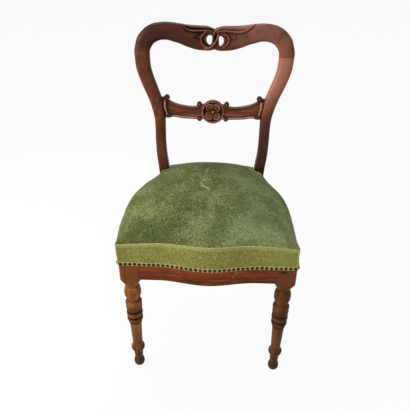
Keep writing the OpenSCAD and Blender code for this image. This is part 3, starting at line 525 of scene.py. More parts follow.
def domedSection(width, depth, dome, rear, across):
    # a bar of the back seen end on: one full curve over the front, a rounded rear
    turn = np.linspace(-1, 1, across)
    share = (np.sin(turn * math.pi / 2) + turn) / 2
    front = np.column_stack([share * width / 2, -(1 - np.abs(share) ** dome) ** (1 / dome) * depth / 2])
    return np.vstack([corners(width, depth, (0, rear, rear, 0), backShape["sectionSteps"]), front])


def postSection(width, depth, t=0.0):
    # squarish at the seat, with a full curve where t is 1
    return domedSection(width, depth, mix(backShape["legDome"], backShape["dome"], math.sqrt(t)),
                        mix(backShape["legRound"], backShape["rearRound"], t), backShape["postAcross"])


def makePost(side, word):
    b, rake, rings = backShape, chair["rake"], []
    rootX = postOuter(0) - chair["postWidth"] / 2
    levels = [(u, (railZ - b["bendDrop"]) * u) for u in np.linspace(0, 1, b["legSteps"])]
    for u, z in levels + [(1, z) for z in (railZ, railZ + 30, railTop, railTop + b["bendLift"])]:
        p = postSection(*[mix(b["footWidth"], chair[size], u) for size in ("postWidth", "postDepth")])
        y = postY + b["footSweep"] * (1 - u) ** 2
        rings.append(np.stack([rootX + p[:, 0], y + p[:, 1], np.full(len(p), z)], -1))
    bend = chair["rootLift"] / math.cos(rake)
    for t in b["bendSteps"]:
        y = postY + math.tan(rake) * bend * t * t / 2
        rings.append(np.stack([rootX + p[:, 0], y + p[:, 1] * math.cos(rake * t),
                               railTop + b["bendLift"] + bend * t * 0.95 - p[:, 1] * math.sin(rake * t)], -1))
    for s in np.linspace(bend, jointS - b["jointGap"], b["backSteps"]):
        w, t = float(postWide(s)), float(smooth(s / jointS / b["slimShare"]))
        p = postSection(w, mix(chair["postDepth"], chair["crestDepth"], t), t)
        rings.append(leanPoint(postOuter(s) - w / 2 + p[:, 0], s, p[:, 1]))
    rings = np.array(rings)
    right, left = rings[:, :, 0].max(axis=1), rings[:, :, 0].min(axis=1)
    aside = np.abs(rings[:, :, 0] - (right + left)[:, None] / 2) / ((right - left)[:, None] / 2)
    # painted shade on both flanks of each bar
    flank = smooth((aside - b["flankFrom"]) / b["flankFade"]).ravel() * b["flankShade"]
    rings[:, :, 0] *= side
    points, faces = tubeOf(rings)
    height = points[:, 2]
    # painted shade in a band just above the seat
    root = smooth((railTop + b["rootTop"] - height) / b["rootFade"]) * (height > railTop + b["rootFrom"])
    near = (points[:, 1] - crestJoint[1]) * math.sin(rake) + (height - crestJoint[2]) * math.cos(rake)
    lightened = smooth((near + b["jointReach"]) / b["jointReach"]) * b["jointWear"]
    return pieceFrom("back_post_%s_shaped" % word, points, faces, postWood, "back_post_" + word,
                     "carved_wood", marks={"dirt_and_shade": np.maximum(root * b["rootShade"], flank), "wear_and_highlight": lightened})


# Crest: a fine sweep with its carving worked into the front

crestCarving = {  # lines on the leaning back: radius, height or depth, and points, in millimetres
    "beads": [
        (3.4, 1.7, [(-103, 430.5), (-84, 427), (-63, 424.5), (-40, 423), (-25, 422), (-12, 421), (-3, 417.5),
                    (2, 413)]),
        (2.0, 1.9, [(-85, 420.5), (-74.3, 415.2), (-62.8, 412.2), (-39.8, 412.6), (-26.1, 413.9),
                    (-16.9, 413.9), (-7.7, 411.4)]),
        (2.3, 2.1, [(-27.1, 406.2), (-35, 397.4), (-38.4, 390.8), (-36, 383.2), (-30.1, 374.5),
                    (-16.1, 367.6), (-4.6, 371.7)]),
        (4.6, 1.7, [(101, 428), (88, 422.5), (76, 421), (61, 420.7), (36, 420.7), (17.8, 420), (7, 414)]),
        (2.1, 2.1, [(109, 431), (103.5, 425.6), (92.8, 418.5), (82, 412.5), (73.5, 410.6), (61.2, 410.3),
                    (48.8, 411.5), (30.2, 413), (15.5, 411.5), (8.2, 407.9)]),
        (2.2, 1.9, [(30.6, 403), (38.8, 396), (40.6, 386.2), (35.5, 375), (27, 369)]),
        (1.9, 2.6, [(13, 418), (2, 412.5), (-3.2, 402), (-5.2, 392), (-4.8, 380)]),
        (3.3, 3.2, [(-26, 365.8), (-14.6, 367), (-5.5, 373), (2.5, 383), (8.3, 392.8), (10.5, 401)]),
        (3.0, 3.2, [(-25.4, 409.3)]),
        (2.4, 1.2, [(6, 366.5), (18, 365), (32, 366), (42, 369)]),
    ],
    "grooves": [
        (2.3, 2.7, [(-86, 424.5), (-70.8, 418.7), (-51.3, 417), (-28.4, 418), (-16.9, 417), (-5.4, 413.4)]),
        (1.8, 1.9, [(-88, 419), (-76, 410.6), (-62, 408), (-42, 408.2), (-31, 409.3)]),
        (2.2, 2.0, [(-24, 404.5), (-30, 397), (-33, 390.8), (-31, 384), (-25.5, 376.5), (-16, 372.5),
                    (-9, 373)]),
        (1.5, 1.9, [(-50.5, 405), (-57, 391.5)]),
        (1.5, 1.9, [(-44.5, 404.5), (-51.5, 393)]),
        (1.5, 1.7, [(-38.5, 405.5), (-47.5, 396)]),
        (2.0, 1.5, [(-47, 391), (-41, 389.5)]),
        (1.3, 1.4, [(84, 418.5), (61, 415.3), (36.3, 415.6), (17.8, 415.6), (8, 410.8)]),
        (1.9, 2.6, [(112, 430.5), (100.5, 418.8), (87, 409.3), (76, 405.8), (61.3, 405), (43.9, 406.6),
                    (30, 408)]),
        (1.9, 2.2, [(31, 408), (42.5, 401), (45.5, 388.6), (41, 377), (31.5, 369)]),
        (1.5, 1.8, [(31, 398.5), (35, 392), (34.5, 384.5), (30.5, 377.5)]),
        (1.3, 1.8, [(60, 405), (60.2, 391), (49.5, 390.2)]),
        (2.2, 1.3, [(50, 400)]),
        (2.6, 2.6, [(6.5, 404), (0.8, 393), (-2, 383.5)]),
        (1.5, 1.9, [(-1, 369), (6.5, 378), (12, 388)]),
    ],
    "holes": [
        [(-22.9, 391), (-21, 396), (-16.5, 400.5), (-11, 401.4), (-7, 398.5), (-6.4, 392), (-7.4, 384.8),
         (-10, 377), (-13.4, 375.4), (-18.6, 379.1), (-22, 385)],
        [(12.9, 397), (16, 399), (20.5, 398), (25, 393), (26, 387), (24.8, 380.5), (20, 374), (15.8, 373),
         (13.2, 376.5), (12.5, 388)],
    ],
    "steps": 26, "across": 111, "deepen": 1.3, "paintedShade": 0.4, "lineSteps": 6, "holeSteps": 5, "sharp": 50,
}


def reliefOf(carving, points):
    # height of the carving over the plain face, how deep in a hollow each point lies, and the pale mark of
    # wear and painted highlight on the raised beads
    c, raised, sunk = carving, np.zeros(len(points)), np.zeros(len(points))
    for part in ("beads", "grooves"):
        for radius, height, line in c[part]:
            path = catmull(line, c["lineSteps"]) if len(line) > 2 else line
            form = ridge(distanceTo(path, points), radius, height)
            if part == "beads":
                raised = np.maximum(raised, form)
            else:
                sunk = np.maximum(sunk, form * (raised < 0.5 * height))
    return raised - sunk, np.clip(sunk / 2.0, 0, 1), np.clip((raised - 1.0) / 1.4, 0, 1)


def crestEdges():
    outer = np.array([(halfBack * a, jointS + chair["crestHeight"] * b) for a, b in backShape["outerShares"]])
    inner = outer - np.array(backShape["bandShares"]) * chair["shoulderWidth"]
    outer = np.vstack([[(postOuter(jointS), jointS)], outer])
    inner = np.vstack([[(postOuter(jointS) - postWide(jointS), jointS)], inner])
    outer, inner = catmull(outer, crestCarving["steps"]), catmull(inner, crestCarving["steps"])
    outer[-1, 0] = inner[-1, 0] = 0
    return outer, inner


def makeCrest():
    c, rings, paintedShade = crestCarving, [], []
    outer, inner = [np.vstack([edge, (edge * (-1, 1))[-2::-1]]) for edge in crestEdges()]
    for o, i in zip(outer, inner):
        width = np.linalg.norm(o - i)
        p = domedSection(width, chair["crestDepth"], backShape["dome"], backShape["rearRound"], c["across"])
        rings.append(np.column_stack([(o + i) / 2 + p[:, :1] * ((o - i) / width), p[:, 1]]))
        # painted shade along the crest's lower, inner edge
        paintedShade.append(smooth((-2 * p[:, 0] / width - 0.6) / 0.4) * c["paintedShade"])
    rings = np.array(rings)
    flat = rings.reshape(-1, 3)
    depth = chair["crestDepth"] / 2
    facing = smooth((-flat[:, 2] - depth * 0.05) / (depth * 0.45))
    # dirt and painted shade in the grooves, wear and painted highlight on the beads
    rise, sunk, lightened = reliefOf(c, flat[:, :2])
    flat[:, 2] -= rise * facing * c["deepen"]
    points, faces = tubeOf(leanPoint(*flat.T).reshape(rings.shape))
    crest = pieceFrom("crest_rail_carved", points, faces, crestWood, "crest_rail", "carved_wood", c["sharp"],
                      {"dirt_and_shade": np.maximum(sunk * facing, np.concatenate(paintedShade)), "wear_and_highlight": lightened * facing})
    for hole in c["holes"]:
        outline = catmull(hole + hole[:1], c["holeSteps"])[:-1]
        ends = [leanPoint(*outline.T, v) for v in (-depth * 2, depth * 2)]
        cutter = pieceFrom("piercing", *tubeOf(np.array(ends)), crestWood)
        cut = crest.modifiers.new("piercing", "BOOLEAN")
        cut.object, cut.solver, cut.operation = cutter, "EXACT", "DIFFERENCE"
        applyModifiers(crest)
        bpy.data.objects.remove(cutter)
    crest.data.set_sharp_from_angle(angle=math.radians(c["sharp"]))
    return crest


print("Shaping the back")
for side, word in sides:
    makePost(side, word)
makeCrest()

# Cross rail: a carved plate with a medallion

crossShape = {  # the shares are of the reach to the posts and the band's height, all else is in millimetres
    "placeShare": 0.535, "band": 37, "thick": 14, "medallion": 34, "lift": 3.5, "cell": 0.9, "sharp": 60,
    "topShares": [
        (0, 0.65), (0.15, 0.65), (0.21, 0.7), (0.26, 0.66), (0.31, 0.56), (0.362, 0.52), (0.435, 0.495),
        (0.507, 0.514), (0.58, 0.554), (0.652, 0.595), (0.725, 0.662), (0.797, 0.75), (0.86, 0.86),
        (0.92, 1.0), (0.99, 1.2)],
    "footShares": [
        (0.942, -0.45), (0.87, -0.38), (0.8, -0.36), (0.725, -0.392), (0.652, -0.451), (0.58, -0.468),
        (0.507, -0.478), (0.435, -0.492), (0.362, -0.5), (0.31, -0.5), (0.15, -0.5), (0, -0.5)],
    "endShares": [1.2, 0.8, 0.4, 0, -0.25, -0.45],
    "curls": [(40, 209.5, 7.4), (38.5, 167.2, 7.2), (135.5, 227, 8.2), (128.5, 175, 7)],
    "uprights": [(139.5, 219), (141.5, 208), (140, 196), (136.5, 184), (133, 173.5)],
    "topLines": ((2.8, 3.0, 1.6), (7.6, 1.8, -1.8)), "footLines": ((4.4, 2.1, 1.8), (7.8, 1.6, -1.6)),
    "uprightLines": ((0, 2.6, 3.0), (-6.5, 1.7, -1.6)), "dish": 1.6, "dishReach": 0.28,
    "curlRise": 2.2, "curlWave": 1.5, "curlEye": 1.8, "edgeRound": 1.5, "edgeDrop": 0.45,
    "darkFrom": 118, "darkReach": 16,
}
medallionShape = {
    "thick": 20, "sunk": 5.6, "rise": 3.4, "rimFrom": 28.4, "rimSlope": 1.2, "rimLine": 29.6, "rimBead": 2.2,
    "petalTurns": (50, 126, 229, 311), "petalReach": 15, "petalRadius": 12.4, "petalSlope": 1.6,
    "petalLine": 10.4, "petalBead": 2.0, "petalHollow": 5.6, "split": 2.6, "splitDepth": 3.2,
    "boss": 3.2, "bossDitch": 4.6, "blend": 0.8,
}
crossS = crossShape["placeShare"] * jointS


def postInner(s):
    return postOuter(s) - postWide(s)


def crossOutline():
    reach, band = float(postInner(crossS)), crossShape["band"]
    top, foot = [catmull([(a * reach, crossS + b * band) for a, b in crossShape[line]], 4)
                 for line in ("topShares", "footShares")]
    ends = [crossS + b * band for b in crossShape["endShares"]]
    end = np.array([(float(postInner(s)) - chair["gap"], s) for s in ends])
    half = np.vstack([top, end, foot[:-1]])
    half[:, 0] = np.minimum(half[:, 0], postInner(half[:, 1]) - chair["gap"])
    return half, top, foot


def bandHeight(folded, upper, lower):
    # the front of the band over its middle plane: lines along edges and ends, a dished middle and the curls
    c = crossShape
    height = np.full(len(folded), c["thick"] / 2.0)
    for distance, lines in ((upper, c["topLines"]), (lower, c["footLines"])):
        for place, radius, rise in lines:
            height += ridge(distance - place, radius, rise)
    for shift, radius, rise in c["uprightLines"]:
        line = catmull([(x + shift, s) for x, s in c["uprights"]], 6)
        height += ridge(distanceTo(line, folded), radius, rise)
    height -= c["dish"] * np.exp(-((folded[:, 1] - crossS) / (c["band"] * c["dishReach"])) ** 2)
    for x, s, r in c["curls"]:
        away = folded - (x, s)
        reach, turn = lengths(away), np.arctan2(away[:, 1], away[:, 0])
        wave = np.cos(2 * math.pi * (reach / (r * 0.5)) + turn)
        coil = c["thick"] / 2 + c["curlRise"] + c["curlWave"] * wave
        height = np.where(reach < r, coil + ridge(reach, r * 0.28, c["curlEye"]), height)
    return height


def medallionHeight(away, reach):
    # a sunk ground inside a rim, with four curled petals and a square boss on it
    m = medallionShape
    ground = m["thick"] / 2 - m["sunk"]
    disc = ground + m["rise"] * smooth((reach - m["rimFrom"]) / m["rimSlope"])
    disc += ridge(reach - m["rimLine"], 1.4, m["rimBead"])
    outs, lobes = [], []
    for a in np.radians(m["petalTurns"]):
        petal = away - m["petalReach"] * np.array([math.cos(a), math.sin(a)])
        out, curl = lengths(petal), np.arctan2(petal[:, 1], petal[:, 0]) - a
        lobe = m["rise"] * smooth((m["petalRadius"] - out) / m["petalSlope"])
        lobe += ridge(out - m["petalLine"], 1.6, m["petalBead"]) * (0.62 + 0.38 * np.cos(curl))
        lobe -= ridge(out - m["petalHollow"] - 1.6 * np.cos(curl - 2.4), 1.5, 2.4)
        outs.append(out)
        lobes.append(lobe + ridge(out, 2.6, 1.2))
    outs = np.sort(np.array(outs), axis=0)
    split = ridge(outs[1] - outs[0], m["split"], m["splitDepth"]) * (outs[0] < m["petalRadius"])
    disc = np.maximum(disc, ground + np.max(lobes, axis=0) - split)
    boss = np.max(np.abs(away @ np.array([[0.8, -0.6], [0.6, 0.8]])), axis=1)
    return np.where(boss < m["boss"], m["thick"] / 2, np.where(boss < m["bossDitch"], ground, disc))


def makeCrossRail():
    c, (half, top, foot) = crossShape, crossOutline()
    outline = np.vstack([half, (half * (-1, 1))[::-1]])
    medal, radius = np.array([0, crossS + c["lift"]]), c["medallion"]

    def fold(points):
        return np.column_stack([np.abs(points[:, 0]), points[:, 1]])

    def inset(points):
        value = np.maximum(insetOf(outline, points), radius - lengths(points - medal))
        for x, s, r in c["curls"]:
            value = np.maximum(value, r - lengths(fold(points) - (x, s)))
        return np.minimum(value, postInner(points[:, 1]) - chair["gap"] - np.abs(points[:, 0]))

    widest = half[:, 0].max() + 4
    points, skin, border = plateOf(inset, (-widest, crossS - 40), (widest, crossS + 56), c["cell"])
    count, folded, reach = len(points), fold(points), lengths(points - medal)
    upper, lower = distanceTo(top, folded), distanceTo(foot, folded)
    soft = np.clip(c["edgeRound"] - np.clip(inset(points), 0, None), 0, None) ** 2 * c["edgeDrop"]
    blend = smooth((radius - reach) / medallionShape["blend"])
    level = c["thick"] / 2
    front = mix(bandHeight(folded, upper, lower), medallionHeight(points - medal, reach), blend) - soft
    rear = mix(level, medallionShape["thick"] / 2, blend) - soft
    places = np.vstack([leanPoint(*points.T, -front), leanPoint(*points.T, rear)])
    faces = skin + [[v + count for v in reversed(f)] for f in skin]
    faces += [(a, b, b + count, a + count) for a, b in border]

    base = np.where(reach < radius - 1, medallionShape["thick"] / 2 - 2.1, level)
    curled = np.zeros(count)
    for x, s, r in c["curls"]:
        away = lengths(folded - (x, s))
        base = np.where(away < r, level + 3, base)
        curled = np.maximum(curled, smooth((away / r - 0.42) / 0.2) * (away < r) * 0.6)
    plain = base == level
    # wear and painted highlight on the raised carving, none along the upper edge, a painted highlight line on
    # the lower bead and a dot on each curl's boss
    wear_and_highlight = np.clip((front - base - 0.4) / 1.2, 0, 1)
    wear_and_highlight[(upper < 6) & plain] = 0
    footBead = smooth((2.2 - np.abs(lower - 4.4)) / 1.2) * smooth((points[:, 0] + 124) / 20)
    wear_and_highlight = np.maximum(wear_and_highlight, footBead * plain) * np.where(reach < radius, 0.75, 1)
    # dirt and painted shade in the hollows and over the curls, painted shade along the lower edge, along a
    # line above the lower bead and under the upper edge, and darker towards the left end
    dirt_and_shade = np.clip((base - 0.8 - front) / 3.0, 0, 1) * 0.8
    for darkening in (curled, smooth((-points[:, 0] - c["darkFrom"]) / c["darkReach"]) * 0.6,
                 smooth((1.8 - np.abs(lower - 8.0)) / 0.8) * plain * 0.65,
                 smooth((2.4 - lower) / 0.8) * plain * 0.65,
                 smooth((1.6 - np.abs(upper - 7.4)) / 0.8) * plain * 0.5):
        dirt_and_shade = np.maximum(dirt_and_shade, darkening)
    none = np.zeros(count)
    return pieceFrom("cross_rail_carved", places, faces, crossWood, "splat_rail", "carved_wood", c["sharp"],
                     {"dirt_and_shade": np.concatenate([dirt_and_shade, none]), "wear_and_highlight": np.concatenate([wear_and_highlight, none])})


makeCrossRail()

# Front legs: one lathe surface that turns square at the top

legShape = {  # the turning is in shares of its height and of its radius
    "blockDrop": 35.5, "turnRadius": 22.3, "chamferRadius": 16, "chamferSpread": 0.55, "around": 144,
    "soften": 1.6, "blockCorner": 1.5, "cornerSteps": 12, "topRound": 0.6, "blur": 7,
    "ringsFrom": 0.565, "ringsTo": 0.812, "ringsHighlightTo": 0.708,
    "turning": [
        [(0, 0.426), (0.016, 0.61), (0.041, 0.69), (0.069, 0.641), (0.094, 0.529), (0.113, 0.511),
         (0.141, 0.538)],
        [(0.144, 0.57), (0.163, 0.57)],
        [(0.164, 0.552), (0.188, 0.6), (0.21, 0.76), (0.228, 0.85), (0.245, 0.85), (0.258, 0.77),
         (0.272, 0.65)],
        [(0.275, 0.622), (0.325, 0.622), (0.438, 0.673), (0.55, 0.72)],
        [(0.553, 0.78), (0.57, 0.78)],
        [(0.573, 0.8), (0.59, 0.9), (0.61, 0.965), (0.627, 0.93), (0.637, 0.82)],
        [(0.639, 0.82), (0.652, 0.945), (0.674, 0.985), (0.694, 0.945), (0.707, 0.82)],
        [(0.709, 0.82), (0.724, 0.94), (0.75, 0.985), (0.775, 0.965), (0.8, 1), (0.81, 0.94)],
        [(0.813, 0.8), (0.822, 0.69), (0.833, 0.65), (0.847, 0.7)],
        [(0.85, 0.726), (0.869, 0.879), (0.891, 0.973), (0.913, 1), (0.938, 0.982), (0.963, 0.915),
         (0.981, 0.803)],
        [(0.984, 0.717), (1, 0.7)],
    ],
}


def blockRadius(angles):
    # distance from the axis to the block's side in each direction, with its outer front edge rounded
    small = legShape["blockCorner"]
    outline = corners(legBlock, legBlock, (chair["blockRound"], small, small, small), legShape["cornerSteps"])
    outline = np.array(outline + outline[:1])
    found = []
    for ux, uy in zip(np.cos(angles), np.sin(angles)):
        best = legBlock
        for p, q in zip(outline[:-1], outline[1:]):
            d = q - p
            det = uy * d[0] - ux * d[1]
            if abs(det) > tiny:
                t, k = (p[1] * d[0] - p[0] * d[1]) / det, (ux * p[1] - uy * p[0]) / det
                if t > 0 and -1e-6 <= k <= 1 + 1e-6:
                    best = min(best, t)
        found.append(best)
    return np.array(found)


def makeLeg(side, word):
    shape, soft = legShape, legShape["soften"]
    turnHeight = railZ - shape["blockDrop"]
    line = np.vstack([catmull(part, 8) for part in shape["turning"]])
    angles = np.linspace(0, 2 * math.pi, shape["around"], endpoint=False)
    square = blockRadius(angles)
    rings = [(z * turnHeight, np.full(len(angles), r * shape["turnRadius"])) for z, r in line]
    top = railTop - turnHeight
    for z in np.concatenate([np.linspace(0, 40, 42), [60, top - 0.8, top]]):
        cone = shape["chamferRadius"] + z * shape["chamferSpread"]
        meet = np.clip(0.5 + (square - cone) / (2 * soft), 0, 1)
        radius = mix(square, cone, meet) - soft * meet * (1 - meet)
        rings.append((turnHeight + z, radius - shape["topRound"] if z == top else radius))
    places = np.array([np.stack([legX + r * np.cos(angles), legY + r * np.sin(angles), r * 0 + z], -1)
                       for z, r in rings])
    places[:, :, 0] *= side
    radii, heights = np.array([r.min() for _, r in rings]), np.array([z for z, _ in rings])
    blur = np.array([np.interp(np.linspace(z - shape["blur"], z + shape["blur"], 15), heights, radii).mean()
                     for z in heights])
    upShare, share = heights / turnHeight, radii / shape["turnRadius"]
    below = (heights < turnHeight + 4)[:, None] * np.ones(len(angles))
    ringed = smooth((upShare - shape["ringsFrom"]) / 0.01) * smooth((shape["ringsTo"] - upShare) / 0.01)
    # dirt and painted shade in the grooves and between the rings, wear and painted highlight on the bulges
    # and on the lower ring crests
    dirt_and_shade = np.maximum(np.clip((blur - radii - 0.8) / 2.0, 0, 1), ringed * smooth((0.95 - share) / 0.07))
    rubbedAndLit = ringed * (upShare < shape["ringsHighlightTo"]) * smooth((share - 0.945) / 0.04) * 0.75
    wear_and_highlight = np.maximum(np.clip((radii - blur - 0.4) / 2.4, 0, 1) * 0.7, rubbedAndLit)
    points, faces = tubeOf(places)
    marks = {"dirt_and_shade": (dirt_and_shade[:, None] * below).ravel(), "wear_and_highlight": (wear_and_highlight[:, None] * below).ravel()}
    return pieceFrom("front_leg_%s_turned" % word, points, faces, legWood, "front_leg_" + word, "leg_wood",
                     34, marks)


print("Turning the legs")
for side, word in sides:
    makeLeg(side, word)

# The seat's line in plan, from the front middle round the right side to the rear middle

seatShape = {  # the shares run from the front leg to the post, and on round the post
    "sideShares": [(1, 0.0965), (0.985, 0.268), (0.945, 0.442), (0.83, 0.588), (0.577, 0.727), (0.248, 0.86),
                   (0.05, 0.95)],
    "rearShares": [(0.884, 0.75), (0.667, 0.92), (0.351, 1), (0, 1)],
    "rearSet": 2, "centreShare": 0.456, "edgeRound": 1.2, "railGap": 0.1, "paintedShade": 0.45,
}
postX = float(postOuter(0)) - chair["postWidth"] / 2
postIn = float(postOuter(0)) - chair["postWidth"]
postFront, postBack = postY - chair["postDepth"] / 2, postY + chair["postDepth"] / 2
railRearY = postBack - seatShape["rearSet"]
seatCentre = np.array([0, legY + seatShape["centreShare"] * chair["legToPost"]])
cornerX = blockOut - chair["blockRound"]


def frontFace(x):
    return frontY - chair["bow"] * smooth(1 - np.abs(x) / chair["bowReach"])


def sideLine(steps):
    points = [(blockOut, frontY + chair["blockRound"])]
    points += [(mix(postX, blockOut, a), legY + b * chair["legToPost"]) for a, b in seatShape["sideShares"]]
    points += [(a * postX, mix(postY, railRearY, b)) for a, b in seatShape["rearShares"]]
    return catmull(points, steps)


def halfLine():
    front = [(x, float(frontFace(x))) for x in np.linspace(0, cornerX, 44)[:-1]]
    corner = [(cornerX + chair["blockRound"] * math.cos(a), frontY + chair["blockRound"] * (1 + math.sin(a)))
              for a in np.radians(np.linspace(-90, 0, 9))[:-1]]
    return np.vstack([front, corner, sideLine(7)])


seatHalf = halfLine()
seatOutline = np.vstack([seatHalf, seatHalf[-2:0:-1] * (-1, 1)])


def makeRail(name, node, outer, inner, look):
    # a rail with softened edges between an outer and an inner line in plan
    rings = []
    for o, i in zip(outer, inner):
        thick = np.linalg.norm(o - i)
        p = corners(thick, railTop - railZ, [seatShape["edgeRound"]] * 4, backShape["sectionSteps"])
        left, right = np.array(p[-1]), np.array(p[0])
        p = np.array(p + [mix(left, right, share) for share in (1 / 3, 2 / 3)])
        plan = (o + i) / 2 + p[:, :1] * ((o - i) / thick)
        rings.append(np.column_stack([plan, (railZ + railTop) / 2 + p[:, 1]]))
    points, faces = tubeOf(np.array(rings))
    # painted shade along each rail's bottom edge
    low = smooth((railZ + 5 - points[:, 2]) / 5)
    return pieceFrom(name, points, faces, look, node, "rail_wood", 50,
                     {"dirt_and_shade": low * seatShape["paintedShade"], "wear_and_highlight": low * 0})


def makeRails():
    thick, gap = chair["railThickness"], seatShape["railGap"]
    x = np.linspace(-1, 1, 90) * (legX - legBlock / 2 - gap)
    outer = np.column_stack([x, frontFace(x)])
    makeRail("front_seat_rail_bowed", "front_seat_rail", outer, outer + (0, thick), railWood)
    line = sideLine(14)
    start, stop = legY + legBlock / 2 + gap, postFront - gap
    keep = (line[:, 1] > start) & (line[:, 1] < stop)
    ends = [(np.interp(y, line[:, 1], line[:, 0]), y) for y in (start, stop)]
    outer = np.vstack([ends[:1], line[keep], ends[1:]])
    inner = outer - unitOf(outer - seatCentre) * thick
    inner[:, 1] = np.clip(inner[:, 1], start, stop)
    inner[0, 1], inner[-1, 1] = start, stop
    for side, word in sides:
        makeRail("side_seat_rail_%s_curved" % word, "side_seat_rail_" + word,
                 outer * (side, 1), inner * (side, 1), sideRailWood)
    x = np.linspace(-1, 1, 40) * (postIn - gap)
    outer = np.column_stack([x, np.interp(np.abs(x), line[::-1, 0], line[::-1, 1])])
    inner = np.column_stack([x, np.full(len(x), railRearY - thick)])
    makeRail("back_seat_rail_smoothed", "back_seat_rail", outer, inner, railWood)


makeRails()

# Velvet cover: a top panel that rolls down at the sides and rear, and a border across the front

coverShape = {  # marks and strokes are in millimetres on the seat: x, y, turn, length, width and strength
    "lap": 19, "frontEdge": 47, "frontRise": 12, "rearEdge": 39, "rearRise": 14, "crown": 72, "pullIn": 1.5,
    "thick": 1.8, "frontRoll": 5, "sideRoll": 20, "rearRoll": 14, "notchRoll": 5, "stack": 3.6,
    "sideRings": 18, "rollRings": 12, "notchGap": 0.5, "padLimit": 4.5, "notchTurn": 0.004,
    "settleFrom": 90, "settleCorner": 4.0, "settleSide": 5.5, "settleEnd": 60, "settleReach": 60,
    "settleRise": 45, "seamX": cornerX + chair["blockRound"] * 0.7, "pressure": 4, "stiffness": 25,
    "padSteps": 20, "evenPasses": 24, "lumps": 0.5, "borderRows": 22, "domeRise": 28, "underIn": 6,
    "padFoot": 2, "notchHem": 1.5, "freeFrom": 8, "freeReach": 26, "arch": 1.1, "tuck": 1.4, "crease": 0.45,
    "seamIn": 0.9, "seamLift": 0.6, "seamRadius": 1.6, "cornerOut": 0.2, "cornerRadius": 1.9,
    "rearSeamRadius": 1.2, "rearSeamLift": 0.3,
    "topSteps": (0.06, 0.12, 0.18, 0.24, 0.3, 0.36, 0.42, 0.48, 0.54, 0.6, 0.66, 0.72, 0.78, 0.84, 0.89, 0.93,
                 0.965),
    "underSteps": (0, 0.2, 0.4, 0.6, 0.8),
    "rubs": [(-9, 30, -12, 15, 2.6, 0.55), (-17, 24, -48, 12, 2.6, 0.6), (-15, -12, -42, 24, 3.2, 0.75),
             (-24, 4, -40, 15, 2.6, 0.6), (-6, -20, -36, 15, 2.6, 0.5), (-4, -30, -60, 12, 3, 0.4),
             (-12, 92, 80, 36, 7, 0.25), (4, -120, 86, 110, 16, 0.12)],
    "rearSeam": [(25, -17), (11, -7.5), (-2, -2), (-8, 5), (-22, 15), (-42, 23)],
}
seamClear = coverShape["thick"] + 3 * chair["gap"]


def coverRays():
    # directions from the seat's centre, with the outline's distance and whatever varies along it
    away = seatOutline - seatCentre
    angle = np.unwrap(np.arctan2(away[:, 1], away[:, 0]))
    notch = postIn - coverShape["notchGap"]
    extra = np.array([math.atan2(y - seatCentre[1], notch * side) for side in (1, -1)
                      for y in (postFront - coverShape["notchGap"], railRearY + 3)])
    extra = np.where(extra < angle.min(), extra + 2 * math.pi, extra)
    turn = coverShape["notchTurn"]
    around = np.sort(np.concatenate([angle, extra, extra - turn, extra + turn]))
    reach = lengths(away)
    distance = np.interp(around, np.append(angle, angle[0] + 2 * math.pi), np.append(reach, reach[0]))
    return around, distance + coverShape["stack"]


def coverShapeAt(around, distance):
    c = coverShape
    unit = np.column_stack([np.cos(around), np.sin(around)])
    points = seatCentre + unit * (distance - c["stack"])[:, None]
    along = (points[:, 1] - legY) / chair["legToPost"]
    t = smooth(along)
    reach = mix(blockOut, postIn, t)
    share = np.minimum(1, np.abs(points[:, 0]) / reach)
    rise = mix(c["frontRise"], c["rearRise"], t) * (1 - share ** 2)
    edge = railTop + mix(c["frontEdge"], c["rearEdge"], t) + rise
    roll = mix(c["sideRoll"], c["rearRoll"], smooth((along - 0.8) / 0.2))
    roll = mix(roll, c["frontRoll"], smooth(1 - (points[:, 1] - frontY) / legBlock))
    return unit, points, edge, roll


coverAround, coverDistance = coverRays()
coverUnit, coverBase, coverEdge, coverRoll = coverShapeAt(coverAround, coverDistance)


def onRays(away, z):
    # a ring of points at a distance from the seat's centre along every ray
    return np.column_stack([seatCentre + coverUnit * away[:, None], np.broadcast_to(z, away.shape)])


def notchReach(gap):
    # how far each ray runs before it meets a post's notch
    ux, uy = np.abs(coverUnit[:, 0]), coverUnit[:, 1]
    enter = np.maximum((postIn - gap) / np.maximum(ux, tiny),
                       (postFront - gap - seatCentre[1]) / np.maximum(uy, tiny))
    return np.where(uy > 0.05, enter, farOff)


def domeAt(share):
    # height of the hollow under the cushion, from its rim to its middle
    return coverShape["domeRise"] * (1 - (1 - share) ** 3)


def topHeight(points):
    # height of the cushion's top, before its edges roll down
    away = points - seatCentre
    angle = np.arctan2(away[:, 1], away[:, 0])
    angle = np.where(angle < coverAround[0], angle + 2 * math.pi, angle)
    around = np.append(coverAround, coverAround[0] + 2 * math.pi)
    distance, edge, roll = [np.interp(angle, around, np.append(v, v[0]))
                            for v in (coverDistance, coverEdge, coverRoll)]
    share = np.clip((distance - roll - lengths(away)) / (distance - roll), 0, 1)
    return mix(edge, railTop + coverShape["crown"], 1 - (1 - share) ** 2)


def settled(points):
    # the old cushion has settled towards the left above its hem
    x, y, z = points.T
    c = coverShape
    behind = smooth((y - frontY) / c["settleFrom"])
    lean = mix(c["settleCorner"] * smooth(x / blockOut), c["settleSide"], behind)
    lean = lean * (1 - smooth((y - c["settleEnd"]) / c["settleReach"]))
    lean = lean * smooth((z - railTop + c["lap"]) / c["settleRise"])
    return points - np.column_stack([lean, lean * 0, lean * 0])


